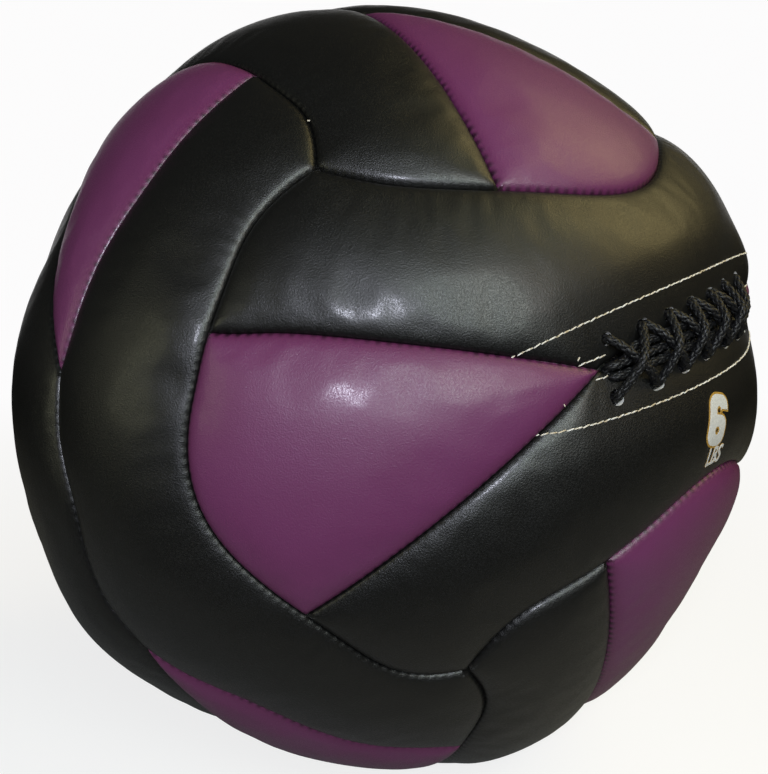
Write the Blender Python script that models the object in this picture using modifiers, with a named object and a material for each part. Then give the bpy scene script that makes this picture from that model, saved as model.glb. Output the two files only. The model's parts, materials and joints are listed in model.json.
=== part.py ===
"""A wall ball: padded leather panels sewn into a ball, stuffed and weighted, and laced shut.

The seams follow a cube drawn on the ball. Each face has two long bands side by side along its
middle seam, and two wedges that point at each other along that seam. The long sides of the
bands on one face take the ends of the next face. The front middle seam is the laced mouth.
"""
import math

import bmesh
import bpy
from mathutils import Matrix, Vector

# The ball, in metres: 14 inches across, measured as a mean over the crowns of its panels.
BALL_DIAMETER = 0.3556
SEAM_DEPTH = 0.0050
CROWN_RUN = 0.0240
PANEL_THICKNESS = 0.0035
SEAM_GAP = 0.0003
TIP_TO_TIP = 0.1200
SAG = 0.0035
SAG_EDGE = 0.0010
FLAT_CUT = 0.0005

# The seam plan, as shares of a cube face's half side. The bulge shares are the terms of an
# even polynomial: how far a face's end bows out over its neighbour. The squareness swells the
# ball towards the middles of the cube's faces, and its mean keeps the ball's size.
WEDGE_BASE_SHARE = 0.514
BULGE_SHARES = (0.48, -0.27, 0.54, 0.31)
SQUARENESS_SHARE = 0.072
SQUARENESS_MEAN = 3 / 5
BAND_SHARES = (0.0, 0.13, 0.33, 0.50, 0.67, 0.87, 1.0)
BASE_SHARES = (-1.0, -0.74, -0.38, 0.0, 0.38, 0.74, 1.0)
SIDE_SHARES = (0.0, 0.10, 0.27, 0.45, 0.64, 0.83, 1.0)
MIDDLE_SHARES = (-1.0, -0.84, -0.44, 0.0, 0.44, 0.84, 1.0)

# How the ball lies: its mouth looks forward and a little up, and its right side is raised.
MOUTH_TILT = math.radians(16.3)
SIDE_TILT = math.radians(7.5)

# The mouth: two hemmed flaps over a tongue, with a row of punched holes in each flap.
MOUTH_HALF_WIDTH = 0.0050
MOUTH_DEPTH = 0.0055
MOUTH_RUN = 0.0320
MOUTH_POWER = 1.5
FLAP_THICKNESS = 0.0026
FLAP_WIDTH = 0.0265
FLAP_EASE = 0.0080
HOLE_COUNT = 7
HOLE_MARGIN = 0.0090
HOLE_ROW = 0.0125
HOLE_CLEARANCE = 0.0004
FACING_THICKNESS = 0.0012
FACING_INSET = 0.0030
FACING_WIDTH = 0.0120
FACING_GAP = 0.0005
FACING_SHARES = (0.0, 0.5, 1.0)
TONGUE_THICKNESS = 0.0015
TONGUE_OVERLAP = 0.0115
TONGUE_MARGIN = 0.0100
TONGUE_SHARES = (-1.0, -0.5, 0.0, 0.5, 1.0)
POCKET_CLEARANCE = 0.0025

# The lace, one round cord. Behind the facings it nests a share of its own size deep.
CORD_DIAMETER = 0.0038
CORD_GAP = 0.0006
LANE_GAP = 0.0008
LACE_STEP = 0.0090
LACE_TAIL = 0.0060
NEST_SHARE = 0.75
LANE_ENTRY_SHARE = 0.85

# Inside: a lining, the stuffing in two halves, and a pouch of sand with its tie.
LINING_THICKNESS = 0.0012
LINING_GAP = 0.0009
LAYER_GAP = 0.0003
SAND_DIAMETER = 0.0840
POUCH_THICKNESS = 0.0012
POUCH_GAP = 0.0008
NECK_DIAMETER = 0.0180
NECK_LENGTH = 0.0160
TIE_DIAMETER = 0.0030

# Working values for cutters and meshes.
OVERRUN = 0.0100
MERGE_SHARE = 0.0001
HOLE_SIDES = 12
LANE_POINTS = 6
TURN_POINTS = 4
LAYER_FACETS = 3
TURNED_SIDES = 16
PROFILE_STEPS = 10
TIE_SIDES = 8
LACE_FACETS = 2
SHARP_ANGLE = math.radians(50)
CORNER_STRETCH = 3

ball_radius = BALL_DIAMETER / 2
tip_angle = TIP_TO_TIP / BALL_DIAMETER
panel_depth = SEAM_DEPTH + PANEL_THICKNESS
lining_depth = panel_depth + LINING_GAP
stuffing_depth = lining_depth + LINING_THICKNESS + LAYER_GAP
cord_pitch = CORD_DIAMETER + CORD_GAP
cord_radius = CORD_DIAMETER / 2

X, Y, Z = Vector((1, 0, 0)), Vector((0, 1, 0)), Vector((0, 0, 1))

# Each face: its outward direction, the way its middle seam runs, the way across it, the names
# of its two ends and the names of its two sides.
FACES = {
    "front": (-Y, X, Z, ("left", "right"), ("lower", "upper")),
    "back": (Y, X, Z, ("left", "right"), ("lower", "upper")),
    "left": (-X, Z, Y, ("bottom", "top"), ("front", "rear")),
    "right": (X, Z, Y, ("bottom", "top"), ("front", "rear")),
    "top": (Z, Y, X, ("front", "rear"), ("left", "right")),
    "bottom": (-Z, Y, X, ("front", "rear"), ("left", "right")),
}

# Looks: each one's colour and roughness.
BLACK_LEATHER = ((0.012, 0.012, 0.012), 0.36)
PURPLE_LEATHER = ((0.105, 0.022, 0.098), 0.40)
FACING_WEB = ((0.012, 0.012, 0.012), 0.60)
TONGUE_WEB = ((0.72, 0.71, 0.68), 0.80)
LACE_CORD = ((0.010, 0.010, 0.011), 0.70)
TIE_STRING = ((0.010, 0.010, 0.011), 0.80)
LINING_KNIT = ((0.42, 0.42, 0.43), 0.90)
STUFFING_WASTE = ((0.62, 0.58, 0.50), 0.95)
POUCH_CANVAS = ((0.34, 0.27, 0.18), 0.90)
DRY_SAND = ((0.48, 0.38, 0.25), 0.95)


# Scene, collections and the ball's own frame
for old in list(bpy.data.objects):
    bpy.data.objects.remove(old, do_unlink=True)

parts = bpy.data.collections.new("wall_ball")
cutters = bpy.data.collections.new("cutters")
bpy.context.scene.collection.children.link(parts)
bpy.context.scene.collection.children.link(cutters)

attitude = Matrix.Rotation(-SIDE_TILT, 3, "Y") @ Matrix.Rotation(-MOUTH_TILT, 3, "X")
down = attitude.transposed() @ -Z


def form_radius(direction, depth=0.0):
    """Distance from the centre to the layer that lies depth below the crowns."""
    squareness = sum(axis ** 4 for axis in direction) - SQUARENESS_MEAN
    return ball_radius * (1 + SQUARENESS_SHARE * squareness) - depth


rest_height = form_radius(down) - SAG

ball_frame = bpy.data.objects.new("ball_frame", None)
ball_frame.location = (0, 0, rest_height - FLAT_CUT)
ball_frame.rotation_euler = attitude.to_euler()
parts.objects.link(ball_frame)


def finish(name, look):
    colour, roughness = look
    material = bpy.data.materials.new(name)
    material.use_nodes = True
    shader = material.node_tree.nodes["Principled BSDF"]
    shader.inputs["Base Color"].default_value = (*colour, 1.0)
    shader.inputs["Roughness"].default_value = roughness
    shader.inputs["Metallic"].default_value = 0.0
    return material


def add_part(name, data, look):
    """A named piece of the ball, in the ball's own frame."""
    piece = bpy.data.objects.new(name, data)
    piece.parent = ball_frame
    parts.objects.link(piece)
    data.materials.append(finish(name, look))
    return piece


def add_cutter(name, data):
    cutter = bpy.data.objects.new(name, data)
    cutter.parent = ball_frame
    cutter.hide_render = True
    cutter.display_type = "WIRE"
    cutters.objects.link(cutter)
    return cutter


def cut(piece, cutter, operation="DIFFERENCE"):
    boolean = piece.modifiers.new(cutter.name, "BOOLEAN")
    boolean.operation = operation
    boolean.object = cutter


def to_mesh(name, bm, smooth=True):
    bmesh.ops.recalc_face_normals(bm, faces=bm.faces)
    mesh = bpy.data.meshes.new(name)
    bm.to_mesh(mesh)
    bm.free()
    if smooth:
        mesh.shade_smooth()
        mesh.set_sharp_from_angle(angle=SHARP_ANGLE)
    return mesh


# The seam plan
def seam_lean(share):
    """How far a face's end bows out at a share of its half width."""
    powers = sum(term * share ** (2 * power) for power, term in enumerate(BULGE_SHARES))
    return (1 - share ** 2) * powers


def end_seam(outward, along, across, share):
    """A point on the seam at the end of a face that looks along along."""
    lean = seam_lean(share)
    return (outward * (1 - lean) + along * (1 + lean) + across * share).normalized()


def wedge_side(outward, along, across, share):
    """A point on a wedge's side, from its base (0) to its tip (1)."""
    base = end_seam(outward, along, across, WEDGE_BASE_SHARE)
    tip = outward * math.cos(tip_angle) + along * math.sin(tip_angle)
    return base.lerp(tip, share).normalized()


def band_end_share(share):
    """Place across a face, for a share of a band's end from the wedge to the corner."""
    return WEDGE_BASE_SHARE + (1 - WEDGE_BASE_SHARE) * share


def lengths(points):
    """Running length along points, as shares of the whole."""
    runs = [0.0]
    for start, stop in zip(points, points[1:]):
        runs.append(runs[-1] + (stop - start).length)
    return [run / runs[-1] for run in runs]


def fill_grid(first, last, starts, ends, u_shares, v_shares):
    """Directions over a four-sided patch, blended from its sides."""
    rows = []
    for v, start, end in zip(v_shares, starts, ends):
        row = []
        for u, low, high in zip(u_shares, first, last):
            point = low * (1 - v) + high * v + start * (1 - u) + end * u
            point -= first[0] * (1 - u) * (1 - v) + first[-1] * u * (1 - v)
            point -= last[0] * (1 - u) * v + last[-1] * u * v
            row.append(point.normalized())
        rows.append(row)
    return rows


def band_plan(outward, along, across, mouth_half_width=0.0):
    """A band's directions: rows from the middle seam out, columns along the seam."""
    middle = []
    for share in MIDDLE_SHARES[1:-1]:
        angle = tip_angle * share
        opening = mouth_half_width / ball_radius * math.sqrt(1 - share ** 2)
        point = outward * math.cos(angle) + along * math.sin(angle) + across * opening
        middle.append(point.normalized())
    rising = [wedge_side(outward, -along, across, share) for share in SIDE_SHARES]
    falling = [wedge_side(outward, along, across, share) for share in reversed(SIDE_SHARES)]
    inner = rising + middle + falling
    end_places = [band_end_share(share) for share in BAND_SHARES]
    places = [-place for place in reversed(end_places)]
    places += [WEDGE_BASE_SHARE * share for share in BASE_SHARES[1:-1]]
    places += end_places
    outer = [end_seam(across, outward, along, place) for place in places]
    starts = [end_seam(outward, -along, across, place) for place in end_places]
    ends = [end_seam(outward, along, across, place) for place in end_places]
    u_shares = [(a + b) / 2 for a, b in zip(lengths(inner), lengths(outer))]
    return fill_grid(inner, outer, starts, ends, u_shares, BAND_SHARES)


def wedge_plan(outward, along, across):
    """A wedge's directions: rows from its base to its tip."""
    base = [end_seam(outward, along, across, WEDGE_BASE_SHARE * share) for share in BASE_SHARES]
    starts = [wedge_side(outward, along, -across, share) for share in SIDE_SHARES]
    ends = [wedge_side(outward, along, across, share) for share in SIDE_SHARES]
    tips = [starts[-1]] * len(base)
    u_shares = [(share + 1) / 2 for share in BASE_SHARES]
    return fill_grid(base, tips, starts, ends, u_shares, SIDE_SHARES)


def outline_of(plan):
    """The directions round a plan's edge, as a closed list."""
    return (plan[0] + [row[-1] for row in plan[1:]] + plan[-1][-2::-1]
            + [row[0] for row in plan[-2::-1]])


def distance_to(path, direction):
    """Distance on the ball from a direction to a path of directions."""
    nearest = BALL_DIAMETER
    for start, stop in zip(path, path[1:]):
        stretch = stop - start
        if stretch.length < MERGE_SHARE:
            continue
        share = (direction - start).dot(stretch) / stretch.length_squared
        foot = start + stretch * min(max(share, 0.0), 1.0)
        nearest = min(nearest, (direction - foot).length * ball_radius)
    return nearest


# The panels' form
def crown_depth(distance):
    """Depth below the crown at a distance from a sewn seam."""
    run = min(max(distance - SEAM_GAP / 2, 0.0) / CROWN_RUN, 1.0)
    return SEAM_DEPTH * (1 - math.sqrt(1 - (1 - run) ** 2))


def mouth_depth(distance):
    """Depth below the crown at a distance from the mouth's edge."""
    run = min(distance / MOUTH_RUN, 1.0)
    return MOUTH_DEPTH * (1 - run) ** MOUTH_POWER


def settled(point):
    """Presses a point of the skin flat where the ball's weight rests on the floor."""
    reach = point.dot(down)
    start = rest_height - SAG_EDGE
    if reach <= start:
        return point
    pressed = start + SAG_EDGE * (1 - math.exp((start - reach) / SAG_EDGE))
    return point + down * (pressed - reach)


def inset_edges(bm, distance):
    """Draws a sheet's edge in on the ball by a distance, square to both of its edges.

    At a sharp corner that takes a longer move, up to CORNER_STRETCH times the distance.
    """
    moves = []
    for vert in bm.verts:
        edges = [edge for edge in vert.link_edges if edge.is_boundary]
        if len(edges) != 2:
            continue
        inward = Vector()
        for edge in edges:
            run = (edge.other_vert(vert).co - vert.co).normalized()
            middle = edge.link_faces[0].calc_center_median() - vert.co
            normal = run.cross(vert.co).normalized()
            inward += normal if normal.dot(middle) > 0 else -normal
        spread = max(inward.length_squared / 4, 1 / CORNER_STRETCH ** 2)
        moves.append((vert, inward / 2 * (distance / ball_radius) / spread))
    for vert, move in moves:
        vert.co = (vert.co + move).normalized()


def sheet(plan):
    """A bmesh grid laid over a plan of directions."""
    columns, rows = len(plan[0]) - 1, len(plan) - 1
    bm = bmesh.new()
    bmesh.ops.create_grid(bm, x_segments=columns, y_segments=rows, size=1)
    for vert in bm.verts:
        column = round((vert.co.x + 1) / 2 * columns)
        row = round((vert.co.y + 1) / 2 * rows)
        vert.co = plan[row][column]
    bmesh.ops.remove_doubles(bm, verts=bm.verts, dist=MERGE_SHARE)
    return bm


def thicken(bm, outer_depth, inner_depth, shape=lambda point: point):
    """Closes a sheet of directions into a solid between two depths below the crowns."""
    skin = list(bm.verts)
    grown = bmesh.ops.extrude_face_region(bm, geom=bm.faces[:])["geom"]
    backing = [item for item in grown if isinstance(item, bmesh.types.BMVert)]
    for vert in skin:
        vert.co = shape(vert.co * form_radius(vert.co, outer_depth(vert.co)))
    for vert in backing:
        vert.co = vert.co * form_radius(vert.co, inner_depth(vert.co))


def sewn_panel(name, plan, look, mouth=None):
    """A padded panel, crowned between its seams, and thin beside the mouth if it has one."""
    seams = outline_of(plan)
    if mouth:
        first, last = plan[0].index(mouth[0]), plan[0].index(mouth[-1])
        seams = seams[last:] + seams[1:first + 1]

    def skin_depth(direction):
        depth = crown_depth(distance_to(seams, direction))
        if mouth:
            depth = max(depth, mouth_depth(distance_to(mouth, direction)))
        return depth

    def back_depth(direction):
        if not mouth:
            return panel_depth
        ease = max(distance_to(mouth, direction) - FLAP_WIDTH, 0.0) / FLAP_EASE
        flap = skin_depth(direction) + FLAP_THICKNESS
        return min(panel_depth, flap + (panel_depth - flap) * min(ease, 1.0))

    bm = sheet(plan)
    inset_edges(bm, SEAM_GAP / 2)
    thicken(bm, skin_depth, back_depth, settled)
    return add_part(name, to_mesh(name, bm), look)


mouth_edges = {}
for face, (outward, along, across, end_names, side_names) in FACES.items():
    for sign, side in zip((-1, 1), side_names):
        name = f"{face}_band_{side}"
        if face == "front":
            plan = band_plan(outward, along, across * sign, MOUTH_HALF_WIDTH)
            edge = plan[0][len(SIDE_SHARES) - 1:1 - len(SIDE_SHARES)]
            mouth_edges[sign] = edge
            sewn_panel(name, plan, BLACK_LEATHER, edge)
        else:
            sewn_panel(name, band_plan(outward, along, across * sign), BLACK_LEATHER)
    for sign, end in zip((-1, 1), end_names):
        sewn_panel(f"{face}_wedge_{end}", wedge_plan(outward, along * sign, across),
                   PURPLE_LEATHER)


# The flat under the ball, where it lies on the floor
bm = bmesh.new()
bmesh.ops.create_cube(bm, size=BALL_DIAMETER)
floor_cutter = add_cutter("floor_cutter", to_mesh("floor_cutter", bm, smooth=False))
floor_cutter.parent = None
floor_cutter.location = (0, 0, -BALL_DIAMETER / 2)
for piece in list(parts.objects):
    if piece.type == "MESH":
        bpy.context.view_layer.update()
        if min((piece.matrix_world @ vert.co).z for vert in piece.data.vertices) < 0:
            cut(piece, floor_cutter)


# Places at the mouth: x runs along it, y across it, and height stands above the crowns
def mouth_direction(x, y):
    turn, rise = x / ball_radius, y / ball_radius
    return ((-Y * math.cos(turn) + X * math.sin(turn)) * math.cos(rise) + Z * math.sin(rise))


def at_mouth(x, y, height):
    direction = mouth_direction(x, y)
    return direction * form_radius(direction, -height)


def mouth_slab(bm, xs, edges, top, bottom):
    """Adds a curved slab: rows of y for each x, between two depths."""
    plan = [[mouth_direction(x, y) for x, y in zip(xs, row)] for row in edges]
    slab = sheet(plan)
    thicken(slab, top, bottom)
    mesh = bpy.data.meshes.new("slab")
    slab.to_mesh(mesh)
    slab.free()
    bm.from_mesh(mesh)
    bpy.data.meshes.remove(mesh)


hole_span = TIP_TO_TIP - 2 * HOLE_MARGIN
hole_pitch = hole_span / (HOLE_COUNT - 1)
last_hole = HOLE_COUNT - 1
hole_places = [hole_pitch * number - hole_span / 2 for number in range(HOLE_COUNT)]
half_pair = cord_pitch / 2
skin_height = -mouth_depth(HOLE_ROW - MOUTH_HALF_WIDTH)
facing_depth = FLAP_THICKNESS + FACING_GAP + FACING_THICKNESS
near_depth = MOUTH_DEPTH + facing_depth + CORD_DIAMETER * NEST_SHARE
far_depth = near_depth + cord_pitch
tongue_depth = far_depth + cord_radius + CORD_GAP
pocket_depth = tongue_depth + TONGUE_THICKNESS + LAYER_GAP


def pair_offset(number):
    """A hole between the ends holds two runs of cord side by side; an end hole holds one."""
    return half_pair if 0 < number < last_hole else 0.0


# The punch for the lace holes, which goes through each flap and its facing
punch = bmesh.new()
punch_length = 2 * (facing_depth + MOUTH_DEPTH)
for number, x in enumerate(hole_places):
    for side in (-1, 1):
        direction = mouth_direction(x, HOLE_ROW * side)
        run = X.cross(direction).normalized().cross(direction).normalized()
        turn = Matrix((run, direction.cross(run), direction)).transposed().to_4x4()
        place = Matrix.Translation(direction * form_radius(direction, -skin_height))
        post = bmesh.ops.create_cone(punch, cap_ends=True, segments=HOLE_SIDES,
                                     radius1=cord_radius + HOLE_CLEARANCE,
                                     radius2=cord_radius + HOLE_CLEARANCE, depth=punch_length)
        for vert in post["verts"]:
            vert.co.x += math.copysign(pair_offset(number), vert.co.x)
            vert.co = place @ turn @ vert.co
hole_punch = add_cutter("hole_punch", to_mesh("hole_punch", punch, smooth=False))


# Facings: a strip behind each flap, sewn along the mouth and punched with it
facing_reach = TIP_TO_TIP / 2 - HOLE_MARGIN / 2
for sign, side in ((-1, "lower"), (1, "upper")):
    xs = [TIP_TO_TIP / 2 * share for share in MIDDLE_SHARES]
    xs[0], xs[-1] = -facing_reach, facing_reach
    edges = []
    for share in FACING_SHARES:
        row = []
        for x in xs:
            opening = MOUTH_HALF_WIDTH * math.sqrt(1 - (2 * x / TIP_TO_TIP) ** 2)
            row.append(sign * (opening + FACING_INSET + FACING_WIDTH * share))
        edges.append(row)

    def facing_top(direction):
        return mouth_depth(distance_to(mouth_edges[sign], direction)) + FLAP_THICKNESS + FACING_GAP

    bm = bmesh.new()
    mouth_slab(bm, xs, edges, facing_top, lambda way: facing_top(way) + FACING_THICKNESS)
    facing = add_part(f"mouth_facing_{side}", to_mesh(f"mouth_facing_{side}", bm), FACING_WEB)
    cut(facing, hole_punch)
    cut(bpy.data.objects[f"front_band_{side}"], hole_punch)


# The tongue lies under the mouth and keeps the stuffing in
tongue_reach = TIP_TO_TIP / 2 + TONGUE_MARGIN
tongue_half_width = HOLE_ROW + TONGUE_OVERLAP
tongue_xs = [tongue_reach * share for share in BASE_SHARES]
tongue_rows = [[tongue_half_width * share] * len(tongue_xs) for share in TONGUE_SHARES]
bm = bmesh.new()
mouth_slab(bm, tongue_xs, tongue_rows, lambda way: tongue_depth,
           lambda way: tongue_depth + TONGUE_THICKNESS)
add_part("mouth_tongue", to_mesh("mouth_tongue", bm), TONGUE_WEB)

pocket_scale = 1 + POCKET_CLEARANCE / tongue_half_width
pocket_xs = [(tongue_reach + POCKET_CLEARANCE) * share for share in BASE_SHARES]
pocket_rows = [[y * pocket_scale for y in row] for row in tongue_rows]
bm = bmesh.new()
mouth_slab(bm, pocket_xs, pocket_rows, lambda way: -OVERRUN, lambda way: pocket_depth)
mouth_pocket = add_cutter("mouth_pocket", to_mesh("mouth_pocket", bm, smooth=False))


# The lace: one cord, out along the rows of holes and back over itself, with its long end
# tucked up and down under the crosses
lane_pitch = CORD_DIAMETER + LANE_GAP
lane_height = cord_radius + CORD_GAP - MOUTH_DEPTH
low_height = lane_height + cord_pitch
high_height = low_height + cord_pitch
LOW_SHARES = ((0.07, 0.45), (0.18, 0.80), (0.34, 1.0), (0.50, 1.0), (0.66, 1.0), (0.82, 0.80),
              (0.93, 0.45))
HIGH_SHARES = ((0.07, 0.25), (0.18, 0.52), (0.34, 0.81), (0.42, 0.96), (0.50, 1.0), (0.58, 0.96),
               (0.66, 0.81), (0.82, 0.52), (0.93, 0.25))
NEAR_SHARES = ((0.04, 0.40), (0.14, 0.90), (0.50, 1.0), (0.86, 0.90), (0.96, 0.40))
FAR_SHARES = ((0.02, 0.42), (0.09, 0.80), (0.22, 0.98), (0.50, 1.0), (0.78, 0.98), (0.91, 0.80),
              (0.98, 0.42))
inside_height = skin_height - facing_depth - cord_radius * NEST_SHARE


def run_between(start, stop, base, peak, shares):
    """Route points between two holes, lifted or sunk from a base height to a peak height."""
    points = []
    for along, lift in shares:
        x = start[0] + (stop[0] - start[0]) * along
        y = start[1] + (stop[1] - start[1]) * along
        points.append((x, y, base + (peak - base) * lift))
    return points


def hole(number, side, half):
    """The axis of one run of cord through a hole: its left half (-1) or its right half (1)."""
    return (hole_places[number] + pair_offset(number) * half, HOLE_ROW * side)


def through(place, outwards):
    points = [(*place, inside_height), (*place, skin_height + CORD_GAP)]
    return points if outwards else points[::-1]


first = hole(0, 1, 1)
route = [
    (first[0] + LACE_TAIL, first[1] - LACE_TAIL, -near_depth),
    (first[0] + cord_radius, first[1] - cord_radius, (inside_height - 2 * near_depth) / 3),
]
for number in range(last_hole):
    start, stop = hole(number, 1, 1), hole(number + 1, -1, -1)
    route += through(start, True)
    route += run_between(start, stop, skin_height, low_height, LOW_SHARES)
    route += through(stop, False)
    back = hole(number + 1, 1, 1)
    route += run_between(stop, back, inside_height, -near_depth, NEAR_SHARES)
for number in range(last_hole, 0, -1):
    start, stop = hole(number, 1, -1), hole(number - 1, -1, 1)
    route += through(start, True)
    route += run_between(start, stop, skin_height, high_height, HIGH_SHARES)
    route += through(stop, False)
    if number > 1:
        back = hole(number - 1, 1, -1)
        route += run_between(stop, back, inside_height, -far_depth, FAR_SHARES)

# From the last hole the cord comes up through the mouth and runs in three lanes
turn = lane_pitch / 2
lane_end = hole_places[-1] - hole_pitch / 2 + cord_radius / 2
rise_x = hole_places[0] + cord_pitch
lane_start = hole_places[1] - turn
last = hole(0, -1, 1)
route += [
    (last[0] + cord_radius / 2, last[1] + cord_radius, (inside_height - 2 * near_depth) / 3),
    (last[0] + cord_radius, last[1] / 2, -near_depth),
    (rise_x, last[1] / 5, cord_radius / 2 - near_depth),
    (rise_x, 0.0, inside_height),
    (rise_x, 0.0, (inside_height + lane_height) / 2),
    (rise_x + cord_radius / 2, cord_radius / 2, lane_height - cord_radius / 4),
    (rise_x + 2 * cord_radius, lane_pitch * LANE_ENTRY_SHARE, lane_height),
]


def lane(x_from, x_to, y):
    stretch = (x_to - x_from) / LANE_POINTS
    return [(x_from + stretch * step, y, lane_height) for step in range(LANE_POINTS + 1)]


def lane_turn(x, y, way):
    """A half turn from the lane at y to the next one below it, bulging the given way."""
    points = []
    for step in range(1, TURN_POINTS):
        angle = math.pi * step / TURN_POINTS
        points.append((x + way * turn * math.sin(angle), y - turn * (1 - math.cos(angle)),
                       lane_height))
    return points


route += lane(lane_start, lane_end, lane_pitch)
route += lane_turn(lane_end, lane_pitch, 1)
route += lane(lane_end, lane_start, 0.0)
route += lane_turn(lane_start, 0.0, -1)
route += lane(lane_start, lane_end, -lane_pitch)


def smooth_route(points, step):
    """A curve through the points, read at about every step along it."""
    padded = [points[0] * 2 - points[1]] + points + [points[-1] * 2 - points[-2]]
    smooth = []
    for before, start, stop, after in zip(padded, padded[1:], padded[2:], padded[3:]):
        pieces = max(1, math.ceil((stop - start).length / step))
        for piece in range(pieces):
            t = piece / pieces
            leave, arrive = (stop - before) / 2, (after - start) / 2
            smooth.append(start * (2 * t ** 3 - 3 * t ** 2 + 1) + leave * (t ** 3 - 2 * t ** 2 + t)
                          + stop * (3 * t ** 2 - 2 * t ** 3) + arrive * (t ** 3 - t ** 2))
    return smooth + [points[-1]]


lace_points = smooth_route([at_mouth(*place) for place in route], LACE_STEP)
lace_curve = bpy.data.curves.new("lace", "CURVE")
lace_curve.dimensions = "3D"
lace_curve.bevel_depth = cord_radius
lace_curve.bevel_resolution = LACE_FACETS
lace_curve.use_fill_caps = True
spline = lace_curve.splines.new("POLY")
spline.points.add(len(lace_points) - 1)
for knot, point in zip(spline.points, lace_points):
    knot.co = (*point, 1.0)
add_part("lace", lace_curve, LACE_CORD)


def least_gap(points, near):
    """The cord's least gap to itself, between points more than near apart along it."""
    runs = [0.0]
    for start, stop in zip(points, points[1:]):
        runs.append(runs[-1] + (stop - start).length)
    gaps = [(a - b).length for place, a in enumerate(points) for other, b in enumerate(points)
            if runs[other] - runs[place] > near]
    return min(gaps) - CORD_DIAMETER, runs[-1]


# The lace crosses itself from hole to hole, so its runs have to stay clear of each other
gap, length = least_gap(smooth_route(lace_points, CORD_DIAMETER / 3), 3 * CORD_DIAMETER)
print(f"lace: {length:.3f} m long, least gap to itself {gap * 1000:.2f} mm")


# The lining, a knitted bag under the panels, open only at the mouth
def ball_of(depth):
    bm = bmesh.new()
    bmesh.ops.create_icosphere(bm, subdivisions=LAYER_FACETS, radius=1)
    for vert in bm.verts:
        vert.co = vert.co.normalized()
        vert.co *= form_radius(vert.co, depth)
    return bm


lining = add_part("lining", to_mesh("lining", ball_of(lining_depth)), LINING_KNIT)
inner_ball = ball_of(lining_depth + LINING_THICKNESS)
cut(lining, add_cutter("lining_space", to_mesh("lining_space", inner_ball, smooth=False)))
cut(lining, mouth_pocket)


# The pouch of sand at the centre, tied at the neck
sand_radius = SAND_DIAMETER / 2
pouch_radius = sand_radius + POUCH_GAP + POUCH_THICKNESS
neck_radius = NECK_DIAMETER / 2
tie_radius = TIE_DIAMETER / 2


def pouch_profile(radius, neck, top, closed):
    """Half an outline of the pouch, from the top of its neck down to its lowest point."""
    shoulder = math.asin(neck / radius)
    points = [(0.0, top)] if closed else []
    points.append((neck, top))
    for step in range(PROFILE_STEPS + 1):
        angle = shoulder + (math.pi - shoulder) * step / PROFILE_STEPS
        points.append((radius * math.sin(angle), radius * math.cos(angle)))
    return points


def turned(name, profile):
    """A mesh turned about the pouch's upright axis from a profile at +X."""
    mesh = bpy.data.meshes.new(name)
    points = [(x, 0, z) for x, z in profile]
    mesh.from_pydata(points, [(step, step + 1) for step in range(len(points) - 1)], [])
    return mesh


def spin(piece):
    screw = piece.modifiers.new("turn", "SCREW")
    screw.steps = TURNED_SIDES
    screw.render_steps = TURNED_SIDES
    screw.use_merge_vertices = True
    screw.merge_threshold = MERGE_SHARE / 10
    screw.use_normal_calculate = True


neck_top = pouch_radius + NECK_LENGTH
pouch = add_part("sand_pouch", turned("sand_pouch", pouch_profile(
    pouch_radius, neck_radius, neck_top, False)), POUCH_CANVAS)
spin(pouch)
wall = pouch.modifiers.new("wall", "SOLIDIFY")
wall.thickness = POUCH_THICKNESS
wall.offset = -1

fill_level = sand_radius - NECK_DIAMETER / 4
sand_profile = [(0.0, fill_level)]
start_angle = math.acos(fill_level / sand_radius)
for step in range(PROFILE_STEPS + 1):
    angle = start_angle + (math.pi - start_angle) * step / PROFILE_STEPS
    sand_profile.append((sand_radius * math.sin(angle), sand_radius * math.cos(angle)))
spin(add_part("sand", turned("sand", sand_profile), DRY_SAND))

bpy.ops.mesh.primitive_torus_add(
    location=(0, 0, 0), major_radius=neck_radius + tie_radius + LAYER_GAP, minor_radius=tie_radius,
    major_segments=TURNED_SIDES, minor_segments=TIE_SIDES)
torus = bpy.context.active_object
tie_mesh = torus.data
tie_mesh.transform(Matrix.Translation(Z * (pouch_radius + NECK_LENGTH / 2)))
tie_mesh.shade_smooth()
bpy.data.objects.remove(torus)
add_part("pouch_tie", tie_mesh, TIE_STRING)

# The stuffing, in a front and a rear half packed round the pouch
space_neck = neck_radius + TIE_DIAMETER + 2 * LAYER_GAP
space = add_cutter("pouch_space", turned("pouch_space", pouch_profile(
    pouch_radius + POUCH_GAP, space_neck, neck_top + POUCH_GAP, True)))
spin(space)
for sign, side in ((-1, "front"), (1, "rear")):
    half = add_part(f"stuffing_{side}", to_mesh(f"stuffing_{side}", ball_of(stuffing_depth)),
                    STUFFING_WASTE)
    bm = bmesh.new()
    bmesh.ops.create_cube(bm, size=2 * BALL_DIAMETER)
    other = add_cutter(f"other_half_{side}", to_mesh(f"other_half_{side}", bm, smooth=False))
    other.location = (0, -sign * (BALL_DIAMETER - LAYER_GAP / 2), 0)
    cut(half, other)
    cut(half, space)
    if side == "front":
        cut(half, mouth_pocket)
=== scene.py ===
"""A wall ball: padded leather panels sewn round a bag of stuffing and sand, and laced shut."""
import json
import math

import bmesh
import bpy
import numpy as np
from mathutils import Matrix, Vector, noise
from mathutils.bvhtree import BVHTree
from mathutils.kdtree import KDTree

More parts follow.
